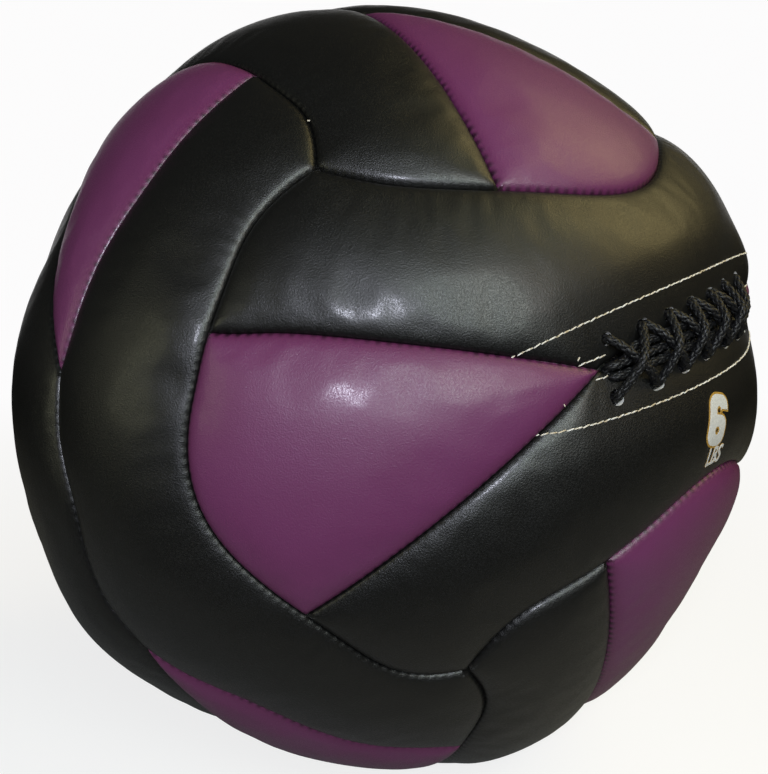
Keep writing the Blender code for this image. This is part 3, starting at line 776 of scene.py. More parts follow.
def wedge_borders(outward, along, across):
    return [
        end_border(outward, along, across, -WEDGE_BASE_SHARE, WEDGE_BASE_SHARE, WEDGE_BASE),
        side_border(outward, along, -across, WEDGE_SIDE),
        side_border(outward, along, across, WEDGE_SIDE),
    ]


def nearest_on(path, runs, ways):
    """Distance on the ball from each direction to a path, and the run there along the path."""
    start, stretch = path[:-1], path[1:] - path[:-1]
    shares = ((ways[:, None] - start) * stretch).sum(-1) / (stretch ** 2).sum(-1)
    shares = shares.clip(0, 1)
    gaps = np.linalg.norm(ways[:, None] - start - stretch * shares[..., None], axis=-1)
    best = gaps.argmin(1)
    every = np.arange(len(ways))
    along = runs[best] + (runs[best + 1] - runs[best]) * shares[every, best]
    return gaps[every, best] * ball_radius, along


def crown_depth(distance):
    run = ((distance - SEAM_GAP / 2) / CROWN_RUN).clip(0, 1)
    return SEAM_DEPTH * (1 - np.sqrt(1 - (1 - run) ** 2))


def mouth_depth(distance):
    """Depth of a flap's skin, which dips to the mouth and rolls over at its hem."""
    hem = (distance / HEM_RADIUS).clip(0, 1)
    roll = HEM_RADIUS * (1 - np.sqrt(1 - (1 - hem) ** 2))
    return MOUTH_DEPTH * (1 - (distance / MOUTH_RUN).clip(0, 1)) ** MOUTH_POWER + roll


def settled(ways, reach):
    """Presses the skin flat where the ball's weight rests on the floor."""
    low = reach * (ways @ down)
    start = rest_height - SAG_EDGE
    over = np.maximum(low - start, 0.0)
    pressed = start + SAG_EDGE * (1 - np.exp(-over / SAG_EDGE))
    flat = np.minimum(np.where(low > start, pressed, low), rest_height - FLAT_CUT)
    return np.where(low > start, reach * flat / np.maximum(low, ball_radius / 2), reach)


def drifted(ways):
    """Directions moved as the sewing has pulled the seams out of their regular places."""
    for way, drift, spread in DRIFTS:
        share = nearness(ways, way, spread)
        ways = ways + share[..., None] * np.array(drift) / ball_radius
    return unit(ways)


def surface_of(mesh):
    """The skin of a mesh, for rays to find."""
    return BVHTree.FromPolygons([vert.co.copy() for vert in mesh.vertices],
                                [face.vertices[:] for face in mesh.polygons])


def inflated_skin():
    """How far the whole cover moves out when it is blown up as cloth, pinned at its seams.

    It gives a function of directions. The cloth is a little larger than its space, so it
    wrinkles near the seams as the leather does.
    """
    seams = []
    for outward, along, across, _, _ in FACES.values():
        for sign in (-1, 1):
            seams += [border[0] for border in band_borders(outward, along, across * sign)]
    seams = np.vstack(seams)
    tree = KDTree(len(seams))
    for number, way in enumerate(seams):
        tree.insert(way, number)
    tree.balance()
    gaps = []

    def crowned(ways):
        gaps.extend(tree.find(way)[2] * ball_radius for way in ways)
        return ways * form_radius(ways, crown_depth(np.array(gaps)))[:, None]

    mesh = round_form("skin", crowned, SKIN_DETAIL)
    skin, still = add_object("skin", mesh), add_object("still", mesh.copy())
    pins = skin.vertex_groups.new(name="seams")
    pins.add(np.nonzero(np.array(gaps) < PIN_REACH)[0].tolist(), 1.0, "REPLACE")
    cloth = skin.modifiers.new("cloth", "CLOTH")
    cloth.settings.vertex_group_mass = "seams"
    cloth.settings.use_pressure = True
    cloth.settings.uniform_pressure_force = PRESSURE
    cloth.settings.shrink_min = -SLACK_SHARE
    cloth.settings.effector_weights.gravity = 0
    cloth.collision_settings.use_collision = False
    cloth.point_cache.frame_end = SIM_FRAMES
    for number in range(1, SIM_FRAMES + 1):
        bpy.context.scene.frame_set(number)
    surfaces = []
    for piece in (skin, still):
        smooth = piece.modifiers.new("smooth", "SUBSURF")
        smooth.levels = 1
        shape = piece.evaluated_get(bpy.context.evaluated_depsgraph_get())
        surfaces.append(surface_of(shape.data))
    bpy.context.scene.frame_set(1)
    for piece in (skin, still):
        bpy.data.objects.remove(piece)

    def rise(directions):
        middle = Vector((0, 0, 0))
        moves = [surfaces[0].ray_cast(middle, way)[3] - surfaces[1].ray_cast(middle, way)[3]
                 for way in directions]
        return np.array(moves).clip(-RISE_CAP, RISE_CAP)

    return rise


skin_rise = inflated_skin()


def softened(values):
    """Takes the faceting out of values on a grid by averaging neighbours."""
    wide = np.pad(values, 1, mode="edge")
    sides = wide[:-2, 1:-1] + wide[2:, 1:-1] + wide[1:-1, :-2] + wide[1:-1, 2:]
    return (values * 4 + sides) / 8


def wander(runs, seed, pitch):
    """A smooth random curve along a seam, from about -1 to 1."""
    rng = np.random.default_rng(seed)
    total = np.zeros_like(runs)
    for share in WANDER_SHARES:
        total += np.sin(2 * math.pi * (runs * share / pitch + rng.random()))
    return total / len(WANDER_SHARES)


def puckers(distance, runs, gather, seed):
    """Small gathers that run in from a seam, uneven in place and strength."""
    shift = wander(runs, seed, PUCKER_PITCH * SHIFT_PITCHES)
    phase = runs / PUCKER_PITCH + shift * SHIFT_SHARE
    swing = wander(runs, seed + 1, PUCKER_PITCH * STRENGTH_PITCHES)
    strength = (STRENGTH_MEAN + STRENGTH_SWING * swing).clip(STRENGTH_LEAST, STRENGTH_MOST)
    reach = distance / PUCKER_PEAK
    wave = np.cos(2 * math.pi * phase) - PUCKER_SINK
    return gather * strength * wave * reach * np.exp(1 - reach)


# The leather's finish: scallops at the stitches with painted shadows (teeth) in their dips, painted
# shade in the creases by the seams, blotches and the grain
SEAM_STITCH = 0.0040
SCALLOP_REACH = 0.0026
SCALLOP_DEPTH = 0.00022
SCALLOP_FALL = 1.5
# Painted shade in the creases by the seams: how far it reaches and how dark it goes
CREASE_REACH, CREASE_SHADE = 0.0055, 0.8
BLOTCH_SIZE, BLOTCH_SHADE, BLOTCH_POLISH = 0.030, 0.6, 0.10
# The teeth are painted shadows in the scallops' dips at the stitches, in patches
TOOTH_PATCH, PATCH_GAIN, PATCH_CUT = 0.014, 2.4, 0.4
TOOTH_WIDTH, TOOTH_SHADE, TOOTH_DARKNESS = 0.7, 0.8, 12
LEATHER_GRAIN = 0.00064
GRAIN_DEPTH = 0.000072
GRAIN_POLISH = 0.40
SPARKLE, SPARKLE_GAIN, SPARKLE_CUT, PEBBLE_GAIN = 0.75, 3.0, 1.2, 1.6
# The deep colours are painted shade in the creases and in the scallops' dips, and the blotches'
# darker tone
BLACK, BLACK_TONE_AND_SHADE, BLACK_ROUGHNESS = (0.0046, 0.0046, 0.0042), (0.0030, 0.0030, 0.0028), 0.43
PURPLE, PURPLE_TONE_AND_SHADE, PURPLE_ROUGHNESS = (0.145, 0.034, 0.108), (0.108, 0.016, 0.068), 0.46


def leather(name, colour, deep, roughness):
    """Coated leather: a fine pressed grain, scalloped by the stitches along the seams."""
    finish = Finish(name, Specular_IOR_Level=0.46, Coat_Roughness=0.2)
    seam = finish.attribute("seam_distance")
    scallops = (finish.attribute("seam_run") * (2 * math.pi / SEAM_STITCH)).cosine()
    near = (1 - seam / SCALLOP_REACH).clamped() ** SCALLOP_FALL
    blotches = finish.clouds(BLOTCH_SIZE, 3.0)
    pebbles = finish.cells(LEATHER_GRAIN)
    fine = finish.clouds(LEATHER_GRAIN / 2)
    finish.relief(scallops * near * (SCALLOP_DEPTH / 2) + (pebbles + fine) * GRAIN_DEPTH)
    # Painted shade: the colour goes towards the deep colour in the creases by the seams
    crease_shade_mask = (1 - seam / CREASE_REACH).clamped()
    shade = finish.blend(crease_shade_mask * CREASE_SHADE, colour, deep)
    shade = finish.blend((blotches * BLOTCH_SHADE).clamped(), shade, deep)
    # Painted shadow: the scallops' dips near the seams go darker still, in patches along the seam
    patches = finish.clouds(TOOTH_PATCH).stretched(PATCH_GAIN, PATCH_CUT)
    stitch_shadow_mask = ((scallops + TOOTH_WIDTH) * near).clamped() * patches
    dark = tuple(share / TOOTH_DARKNESS for share in deep)
    shade = finish.blend(stitch_shadow_mask * TOOTH_SHADE, shade, dark)
    sparkle = fine.stretched(SPARKLE_GAIN, SPARKLE_CUT) * (pebbles * PEBBLE_GAIN).clamped()
    polish = (finish.clouds(LEATHER_GRAIN, 1.0) - 0.5) * GRAIN_POLISH
    uneven = roughness + blotches * BLOTCH_POLISH - BLOTCH_POLISH / 2 + polish
    return finish.vary(Base_Color=shade, Coat_Weight=sparkle * SPARKLE, Roughness=uneven)


black_leather = leather("black_leather", BLACK, BLACK_TONE_AND_SHADE, BLACK_ROUGHNESS)
purple_leather = leather("purple_leather", PURPLE, PURPLE_TONE_AND_SHADE, PURPLE_ROUGHNESS)


def store(mesh, name, values):
    """Keeps a value for each point of a mesh, which its finish reads."""
    layer = mesh.attributes.new(name, "FLOAT", "POINT")
    layer.data.foreach_set("value", values.astype(np.float32))


def add_panel(name, ways, borders, material, slot, seed, mouth=None):
    """A padded panel: crowned between its seams, blown up, puckered and closed behind.

    A flap of the mouth has no last border. It dips to the mouth instead, and rolls over there.
    """
    rows, columns = ways.shape[:2]
    flat = ways.reshape(-1, 3)
    gaps, alongs, gathers = [], [], []
    sewn = borders if mouth is None else borders[:-1]
    for number, (path, runs, gather) in enumerate(sewn):
        gap, along = nearest_on(path, runs, flat)
        gaps.append(gap)
        alongs.append(along)
        gathers.append(puckers(gap, along, gather, seed + SEAM_SEEDS * number))
    distance = np.min(gaps, axis=0)
    seam_run = np.choose(np.argmin(gaps, axis=0), alongs)
    blended = (np.maximum(gaps, SEAM_GAP / 2) ** -CROWN_BLEND).sum(0) ** (-1 / CROWN_BLEND)
    depth = crown_depth(blended)
    rise = skin_rise(flat) * RISE_SHARE * (distance / CALM_REACH).clip(0, 1)
    pucker = sum(gathers)
    hem = np.full(len(flat), BALL_DIAMETER)
    if mouth is not None:
        hem = nearest_on(mouth, running(mouth), flat)[0]
        dip = mouth_depth(hem)
        depth = (depth ** MOUTH_BLEND + dip ** MOUTH_BLEND) ** (1 / MOUTH_BLEND)
        calm = (hem / MOUTH_CALM - 1).clip(0, 1)
        rise, pucker = rise * calm, pucker * (hem / MOUTH_CALM).clip(0, 1)
    rise = softened(rise.reshape(rows, columns)).ravel()
    smooth = depth.reshape(rows, columns)
    for _ in range(SMOOTH_ROUNDS):
        smooth = softened(smooth)
    inner = ((np.minimum(distance, hem) - SMOOTH_START) / SMOOTH_REACH).clip(0, 1)
    depth = depth + (smooth.ravel() - depth) * inner
    ways = drifted(ways)
    flat = ways.reshape(-1, 3)
    reach = settled(flat, form_radius(flat, depth) + rise + pucker)
    flap = mouth_depth(hem) + FLAP_THICKNESS
    ease = ((hem - FLAP_WIDTH) / FLAP_EASE).clip(0, 1)
    back = np.minimum(panel_depth, flap + (panel_depth - flap) * ease)
    under = np.minimum(form_radius(flat, back), reach - SEAM_GAP)
    mesh, used = solid_of(name, ways, reach.reshape(rows, columns),
                          under.reshape(rows, columns), SHARP_ANGLE, UNDER_STEP)
    for layer, known in (("seam_distance", np.minimum(distance, hem)), ("seam_run", seam_run)):
        known = np.concatenate([known, np.zeros(len(flat))])
        store(mesh, layer, known[used])
    piece = add_piece(f"{name}_cover", mesh, material, slot, name)


seed = FIRST_SEED
for face, (outward, along, across, end_names, side_names) in FACES.items():
    for sign, side in zip((-1, 1), side_names):
        way = across * sign
        opening, mouth = 0.0, None
        if face == "front":
            opening = MOUTH_HALF_WIDTH
            mouth = middle_seam(outward, along, way, np.linspace(-1, 1, MOUTH_POINTS), opening)
        add_panel(f"{face}_band_{side}", band_ways(outward, along, way, opening),
                  band_borders(outward, along, way), black_leather, "black_leather", seed, mouth)
        seed += PANEL_SEEDS
    for sign, end in zip((-1, 1), end_names):
        add_panel(f"{face}_wedge_{end}", wedge_ways(outward, along * sign, across),
                  wedge_borders(outward, along * sign, across), purple_leather,
                  "purple_leather", seed)
        seed += PANEL_SEEDS

# The facings, two black webbing strips behind the flaps of the mouth. They are sewn on by the
# rows beside the mouth and punched together with the flaps, so that the lace can't tear out.
FACING_INSET = 0.0010
FACING_WIDTH = 0.0140
TIP_INSET = 0.0008
HOLE_COUNT = 7
HOLE_MARGIN = 0.00625
HOLE_SIDES = 24
FACING_COLUMNS, FACING_ROWS = 61, 9
FACING_THREAD = 0.0009
WEB_WOBBLE = 0.6
BLACK_WEB, DARK_WEB = (0.030, 0.030, 0.032), (0.010, 0.010, 0.011)

# The holes of each side: their places along and across the mouth, and their room round the cord
PUNCHED = {
    1: ((-0.0512, 0.0102, 0.0006), (-0.0330, 0.0100, 0.0005), (-0.0176, 0.0101, 0.0005),
        (-0.0025, 0.0108, 0.0004), (0.0138, 0.0106, 0.0005), (0.0302, 0.0112, 0.0004),
        (0.0500, 0.0106, 0.0006)),
    -1: ((-0.0541, 0.0116, 0.0011), (-0.0343, 0.0121, 0.0009), (-0.0176, 0.0108, 0.0006),
         (-0.0021, 0.0103, 0.0004), (0.0158, 0.0101, 0.0005), (0.0318, 0.0105, 0.0004),
         (0.0505, 0.0108, 0.0006)),
}
PAIR_OFFSET = 0.0009

hole_span = TIP_TO_TIP - 2 * HOLE_MARGIN
hole_pitch = hole_span / (HOLE_COUNT - 1)
last_hole = HOLE_COUNT - 1
hole_places = [hole_pitch * number - hole_span / 2 for number in range(HOLE_COUNT)]
hole_reach = sum(y for row in PUNCHED.values() for _, y, _ in row) / HOLE_COUNT / 2
skin_height = -float(mouth_depth(np.array(hole_reach - MOUTH_HALF_WIDTH)))


def pair_offset(number):
    """A hole between the ends holds two runs of cord; an end hole holds one."""
    return PAIR_OFFSET if 0 < number < last_hole else 0.0


def hole_punch(side):
    """Round and slotted posts through one row of holes."""
    bm = bmesh.new()
    for number, (x, y, clearance) in enumerate(PUNCHED[side]):
        post_radius = cord_radius + clearance
        way = mouth_ways(x, y * side)
        upright = Vector(way)
        run = Vector(X).cross(upright).normalized().cross(upright).normalized()
        turn = Matrix((run, upright.cross(run), upright)).transposed().to_4x4()
        place = Matrix.Translation(Vector(way * form_radius(way, -skin_height)))
        post = bmesh.ops.create_cone(bm, cap_ends=True, segments=HOLE_SIDES, radius1=post_radius,
                                     radius2=post_radius, depth=2 * (facing_depth + MOUTH_DEPTH))
        for vert in post["verts"]:
            vert.co.x += math.copysign(pair_offset(number), vert.co.x)
            vert.co = place @ turn @ vert.co
    return written(bm, bpy.data.meshes.new("punch"))


def web_finish(name, light, dark, thread):
    """Plain woven webbing: threads over and under each other."""
    finish = Finish(name, Roughness=0.85, Sheen_Weight=0.15)
    over, under = (thread_bands(finish, thread, way, WEB_WOBBLE) for way in "XZ")
    return finish.patterned(over * under, thread / 3, dark, light)


facing_web = web_finish("facing_web", BLACK_WEB, DARK_WEB, FACING_THREAD)
facing_reach = TIP_TO_TIP / 2 - TIP_INSET
for sign, side in ((-1, "lower"), (1, "upper")):
    xs = np.linspace(-facing_reach, facing_reach, FACING_COLUMNS)
    opening = MOUTH_HALF_WIDTH * np.sqrt(1 - (2 * xs / TIP_TO_TIP) ** 2)
    rows = np.linspace(0, FACING_WIDTH, FACING_ROWS)[:, None]
    ways = mouth_ways(np.tile(xs, (FACING_ROWS, 1)), sign * (opening + FACING_INSET + rows))
    dip = mouth_depth(np.tile(rows + FACING_INSET, (1, FACING_COLUMNS)))
    top = dip + FLAP_THICKNESS + FACING_GAP
    mesh = solid_of("facing", ways, form_radius(ways, top),
                    form_radius(ways, top + FACING_THICKNESS), SHARP_ANGLE)[0]
    facing = add_piece(f"mouth_facing_{side}_web", mesh, facing_web, "facing_leather",
                       f"mouth_facing_{side}")
    cut_with(facing, hole_punch(sign))

# The holes in the flaps, punched raw, so that the white knit behind the leather's coating shows
# at their rims.
BACKING_FLUFF = 0.0006
RIM_ANGLE = math.radians(50)
GREY_BACKING, WHITE_BACKING = (0.66, 0.65, 0.62), (0.90, 0.89, 0.86)

backing_finish = Finish("white_backing", Roughness=0.9)
white_backing = backing_finish.patterned(backing_finish.clouds(BACKING_FLUFF, 4.0),
                                         BACKING_FLUFF / 2, GREY_BACKING, WHITE_BACKING)
flaps = {}
for sign, side in ((-1, "lower"), (1, "upper")):
    flap = bpy.data.objects[f"front_band_{side}_cover"]
    cut_with(flap, hole_punch(sign), white_backing)
    flap.data.shade_smooth()
    flap.data.set_sharp_from_angle(angle=RIM_ANGLE)
    flaps[sign] = surface_of(flap.data)


def on_flap(x, y):
    """The point and the normal of the flaps' skin at a place beside the mouth."""
    way = Vector(mouth_ways(x, y))
    hit, normal, _, _ = flaps[1 if y > 0 else -1].ray_cast(way * BALL_DIAMETER, -way)
    if hit is None:
        hit, normal = way * (ball_radius - MOUTH_DEPTH), way
    return hit, (normal if normal.dot(way) > 0 else -normal)


# The tongue, a strip of white webbing under the mouth that keeps the stuffing in.
TONGUE_THREAD = 0.0011
WHITE_WEB, GREY_WEB = (0.78, 0.77, 0.74), (0.45, 0.44, 0.42)

tongue_web = web_finish("white_web", WHITE_WEB, GREY_WEB, TONGUE_THREAD)
add_piece("mouth_tongue_web", mouth_block("tongue", tongue_reach, tongue_half_width, tongue_depth,
                                          tongue_depth + TONGUE_THICKNESS),
          tongue_web, "tongue_web", "mouth_tongue")

# The rows of stitches beside the mouth, in thick cream thread: one long row on each side, which
# holds the facing and runs on to the wedges' seams, and short rows that hold the hems at the
# mouth's ends, beside the wedges' tips.
STITCH_PITCH = 0.0031
STITCH_LENGTH = 0.0032
THREAD_DIAMETER = 0.00062
STITCH_SLANT = math.radians(7)
STITCH_WANDER, WANDER_STEP = 0.9, 2.4
STITCH_LIFT = 0.25
THREAD_SIDES, THREAD_RINGS = 8, 7
BIT_FULLNESS, THINNEST, FATTEST = 0.5, 0.2, 1.6
ROW_END = 0.0905
ROW_BOW = 2.5
ROW_POINTS = 81
FLUFF_SIZE = 0.0004
TINT_SIZE, TINT_GAIN, TINT_CUT = 0.0020, 3.2, 1.2
CREAM, SOILED_CREAM = (0.84, 0.82, 0.76), (0.50, 0.40, 0.24)

# The long rows by side: how far they lie from the mouth's middle, and how much nearer they end.
# The short rows by side: the two ends of each, along and across the mouth
ROW_PLACES = {1: (0.0200, 0.0049), -1: (0.0197, 0.0049)}
HEM_ROWS = {1: ((0.0685, 0.0044), (0.0530, 0.0046)), -1: ((0.0665, 0.0026), (0.0505, 0.0034))}

thread_finish = Finish("cream_thread", Roughness=0.65, Sheen_Weight=0.2)
fluff = thread_finish.clouds(FLUFF_SIZE, 3.0)
thread_finish.relief(fluff * (FLUFF_SIZE / 2))
cream_thread = thread_finish.vary(Base_Color=thread_finish.blend(
    thread_finish.clouds(TINT_SIZE).stretched(TINT_GAIN, TINT_CUT), CREAM, SOILED_CREAM))


def thread_bit():
    """A short fat bit of thread of unit length and width, lying along X."""
    bm = bmesh.new()
    bmesh.ops.create_uvsphere(bm, u_segments=THREAD_SIDES, v_segments=THREAD_RINGS, radius=0.5,
                              matrix=Matrix.Rotation(math.pi / 2, 4, "Y"))
    points = np.array([vert.co[:] for vert in bm.verts])
    faces = [tuple(vert.index for vert in face.verts) for face in bm.faces]
    bm.free()
    round_width = (1 - (points[:, :1] * 2) ** 2).clip(0, 1) ** 0.5
    full_width = round_width ** BIT_FULLNESS / np.maximum(round_width, THINNEST)
    points[:, 1:] *= full_width.clip(0, FATTEST)
    return points, faces


def joined(parts):
    """One set of points and faces out of several."""
    faces, base = [], 0
    for part_points, part_faces in parts:
        faces += [tuple(corner + base for corner in face) for face in part_faces]
        base += len(part_points)
    return np.vstack([part_points for part_points, _ in parts]), faces


bit, bit_faces = thread_bit()


def laid_thread(middle, run, up, length):
    """A bit of thread that lies along run on a surface whose normal is up."""
    shape = np.array([run * length, up.cross(run) * THREAD_DIAMETER, up * THREAD_DIAMETER])
    return bit @ shape + np.array(middle), bit_faces


def add_row(name, line):
    """Lays stitches one by one along a line of places beside the mouth."""
    line = np.array(line)
    runs = running(line, 1)
    marks = np.linspace(0, runs[-1], max(2, round(runs[-1] / STITCH_PITCH) + 1))
    spots = [on_flap(x, y) for x, y in zip(np.interp(marks, runs, line[:, 0]),
                                           np.interp(marks, runs, line[:, 1]))]
    stitches = []
    for number, ((start, normal), (stop, other)) in enumerate(zip(spots, spots[1:])):
        run = (stop - start).normalized()
        up = (normal + other).normalized()
        lean = STITCH_SLANT * (1 + STITCH_WANDER * math.sin(number * WANDER_STEP))
        run = Matrix.Rotation(lean, 3, up) @ (run - up * run.dot(up)).normalized()
        middle = (start + stop) / 2 + up * THREAD_DIAMETER * STITCH_LIFT
        stitches.append(laid_thread(middle, run, up, STITCH_LENGTH))
    add_piece(name, mesh_of("row", *joined(stitches)), cream_thread, "lace_cord")


for sign, side in ((-1, "lower"), (1, "upper")):
    middle, drop = ROW_PLACES[sign]
    xs = np.linspace(-ROW_END, ROW_END, ROW_POINTS)
    add_row(f"topstitch_{side}",
            [(x, sign * (middle - drop * abs(x / ROW_END) ** ROW_BOW)) for x in xs])
    for end, half in ((-1, "left"), (1, "right")):
        add_row(f"hem_stitch_{side}_{half}", [(end * x, sign * y) for x, y in HEM_ROWS[sign]])

# Ends of the cream thread, which stand out of the seams here and there, each beside the place
# where a seam was finished. Each has a direction, a turn in degrees and a length.
THREAD_ENDS = (
    ((-0.489, -0.518, 0.702), 30, 0.0012),
    ((-0.185, -0.684, 0.706), 75, 0.0012),
    ((-0.413, -0.910, -0.041), 10, 0.0015),
    ((-0.358, -0.933, 0.038), -50, 0.0018),
    ((0.690, 0.560, 0.460), 40, 0.0016),
)
END_DEPTH = 0.0034

ends = []
for way, angle, length in THREAD_ENDS:
    way = Vector(way).normalized()
    run = Matrix.Rotation(math.radians(angle), 3, way) @ Vector(X).cross(way).normalized()
    spot = np.array(way) * float(form_radius(np.array(way), END_DEPTH))
    ends.append(laid_thread(spot, run, way, length))
add_piece("seam_thread_ends", mesh_of("ends", *joined(ends)), cream_thread, "lace_cord")

# The lace, a round cord of eight black polyester yarns braided over and under each other. It is
# laced out and back, and its spare length is tucked in three runs under the crosses.
LANE_GAP = 0.0004
LOW_SQUEEZE = 0.80
HIGH_SQUEEZE = 0.66
LANE_START = -0.0515
TURN_SINK = 0.0042
LACE_TAIL = 0.0060
LANE_POINTS = 6
TURN_POINTS = 4
CURVE_STEPS = 24
BRAID_YARNS = 4
BRAID_PITCH = 0.0165
BRAID_STEP = 0.00085
YARN_SIDES = 8
YARN_HALF_WIDTH = 0.00078
YARN_HALF_HEIGHT = 0.00042
BRAID_WEAVE = 0.00030
YARN_TWISTS = 5
YARN_LAY = 0.0015
FRAY_SIZE, FRAY_ROUGHNESS = 0.0006, 0.3
FIBRE_DEPTH, FIBRE_SHARE = 0.00004, 0.3
YARN_ROUGHNESS = 0.34
BLACK_YARN, WORN_YARN = (0.0026, 0.0028, 0.0034), (0.006, 0.006, 0.007)

# How the cord lifts in the first half of its way between two holes, before it falls as it rose:
# shares of the way, and shares of the height there
LOW_SHARES = ((0.07, 0.45), (0.18, 0.80), (0.34, 1.0))
HIGH_SHARES = ((0.07, 0.25), (0.18, 0.52), (0.34, 0.81), (0.42, 0.96))
NEAR_SHARES = ((0.04, 0.40), (0.14, 0.90))
FAR_SHARES = ((0.02, 0.42), (0.09, 0.80), (0.22, 0.98))

lane_pitch = CORD_DIAMETER + LANE_GAP
lane_height = cord_radius + CORD_GAP - MOUTH_DEPTH
low_height = lane_height + cord_pitch * LOW_SQUEEZE
high_height = low_height + cord_pitch * HIGH_SQUEEZE
inside_height = skin_height - facing_depth - cord_radius * 3 / 4


def run_between(start, stop, base, peak, shares):
    """Route points between two holes, lifted or sunk from a base height to a peak height."""
    falling = [(1 - along, lift) for along, lift in shares[::-1]]
    return [(start[0] + (stop[0] - start[0]) * along, start[1] + (stop[1] - start[1]) * along,
             base + (peak - base) * lift) for along, lift in (*shares, (0.5, 1.0), *falling)]


def hole(number, side, half):
    """The axis of one run of cord through a hole: its left half (-1) or its right half (1)."""
    x, y, _ = PUNCHED[side][number]
    return (x + pair_offset(number) * half, y * side)


def through(place, outwards):
    points = [(*place, inside_height), (*place, skin_height + CORD_GAP)]
    return points if outwards else points[::-1]


first = hole(0, 1, 1)
route = [
    (first[0] + LACE_TAIL, first[1] - LACE_TAIL, -near_depth),
    (first[0] + cord_radius, first[1] - cord_radius, (inside_height - 2 * near_depth) / 3),
]
for number in range(last_hole):
    start, stop = hole(number, 1, 1), hole(number + 1, -1, -1)
    height = low_height if number + 1 < last_hole else lane_height
    route += through(start, True)
    route += run_between(start, stop, skin_height, height, LOW_SHARES)
    route += through(stop, False)
    back = hole(number + 1, 1, 1)
    route += run_between(stop, back, inside_height, -near_depth, NEAR_SHARES)
for number in range(last_hole, 0, -1):
    start, stop = hole(number, 1, -1), hole(number - 1, -1, 1)
    height = high_height if number < last_hole else low_height
    route += through(start, True)
    route += run_between(start, stop, skin_height, height, HIGH_SHARES)
    route += through(stop, False)
    if number > 1:
        back = hole(number - 1, 1, -1)
        route += run_between(stop, back, inside_height, -far_depth, FAR_SHARES)

# From the last hole the cord comes up through the mouth and runs in three lanes
turn = lane_pitch / 2
lane_end = hole_places[-2]
rise_x = hole_places[0] + cord_pitch
last = hole(0, -1, 1)
route += [
    (last[0] + cord_radius / 2, last[1] + cord_radius, (inside_height - 2 * near_depth) / 3),
    (last[0] + cord_radius, last[1] / 2, -near_depth),
    (rise_x, last[1] / 5, cord_radius / 2 - near_depth),
    (rise_x, 0.0, inside_height),
    (rise_x, 0.0, (inside_height + lane_height) / 2),
    (rise_x + cord_radius / 2, cord_radius / 2, lane_height - cord_radius / 4),
    (rise_x + 2 * cord_radius, lane_pitch * 0.85, lane_height),
]


def lane(x_from, x_to, y):
    stretch = (x_to - x_from) / LANE_POINTS
    return [(x_from + stretch * step, y, lane_height) for step in range(LANE_POINTS + 1)]


def lane_turn(x, y, way, sink=0.0):
    """A half turn from the lane at y to the next one below it, bulging the given way."""
    angles = [math.pi * step / TURN_POINTS for step in range(1, TURN_POINTS)]
    return [(x + way * turn * math.sin(angle), y - turn * (1 - math.cos(angle)),
             lane_height - sink * math.sin(angle)) for angle in angles]


route += lane(hole_places[1] - turn, lane_end, lane_pitch)
route += lane_turn(lane_end, lane_pitch, 1)
route += lane(lane_end, LANE_START, 0.0)
route += lane_turn(LANE_START, 0.0, -1, TURN_SINK)
route += lane(LANE_START, lane_end, -lane_pitch)


def smooth_line(points, step):
    """Even steps along a smooth curve through points."""
    points = np.vstack([2 * points[0] - points[1], points, 2 * points[-1] - points[-2]])
    shares = np.linspace(0, 1, CURVE_STEPS, endpoint=False)[:, None]
    curve = []
    for before, start, stop, after in zip(points, points[1:], points[2:], points[3:]):
        leave, arrive = (stop - before) / 2, (after - start) / 2
        curve.append(start * (2 * shares ** 3 - 3 * shares ** 2 + 1)
                     + leave * (shares ** 3 - 2 * shares ** 2 + shares)
                     + stop * (3 * shares ** 2 - 2 * shares ** 3)
                     + arrive * (shares ** 3 - shares ** 2))
    curve = np.vstack(curve + [points[-2:-1]])
    runs = running(curve, 1)
    marks = np.linspace(0, runs[-1], round(runs[-1] / step) + 1)
    return np.stack([np.interp(marks, runs, curve[:, axis]) for axis in range(3)], -1), marks


def carried_frame(line):
    """Directions across a line that turn with it and don't twist."""
    tangents = unit(np.gradient(line, axis=0))
    across = unit(np.cross(tangents[0], X))
    sides = []
    for tangent in tangents:
        across = across - tangent * (across @ tangent)
        across = across / np.linalg.norm(across)
        sides.append(across)
    sides = np.array(sides)
    return tangents, sides, np.cross(tangents, sides)


def tube_of(centres, wide, high):
    """Ring points and faces of a tube whose rings are ellipses with the given half axes."""
    angles = np.linspace(0, 2 * math.pi, YARN_SIDES, endpoint=False)[None, :, None] - math.pi / 2
    rings = centres[:, None] + np.cos(angles) * wide[:, None] + np.sin(angles) * high[:, None]
    numbers = np.arange(rings.shape[0] * YARN_SIDES).reshape(-1, YARN_SIDES)
    closed = np.hstack([numbers, numbers[:, :1]])
    faces = grid_faces(closed) + [tuple(numbers[0][::-1].tolist()), tuple(numbers[-1].tolist())]
    return rings.reshape(-1, 3), faces


route = np.array(route)
knots = mouth_ways(route[:, 0], route[:, 1])
knots = knots * form_radius(knots, -route[:, 2])[:, None]
lace_line, lace_runs = smooth_line(knots, BRAID_STEP)
_, lace_side, lace_up = carried_frame(lace_line)
yarn_reach = cord_radius - YARN_HALF_HEIGHT - BRAID_WEAVE
tubes = []
for way in (1, -1):
    for yarn in range(BRAID_YARNS):
        angle = 2 * math.pi * (yarn / BRAID_YARNS + way * lace_runs / BRAID_PITCH)
        weave = way * np.cos(2 * math.pi * BRAID_YARNS * lace_runs / BRAID_PITCH)
        outwards = np.cos(angle)[:, None] * lace_side + np.sin(angle)[:, None] * lace_up
        centres = lace_line + outwards * (yarn_reach + BRAID_WEAVE * weave)[:, None]
        sideways = unit(np.cross(unit(np.gradient(centres, axis=0)), outwards))
        tubes.append(tube_of(centres, sideways * YARN_HALF_WIDTH, outwards * YARN_HALF_HEIGHT))
core = yarn_reach - BRAID_WEAVE / 2
tubes.append(tube_of(lace_line, lace_side * core, lace_up * core))

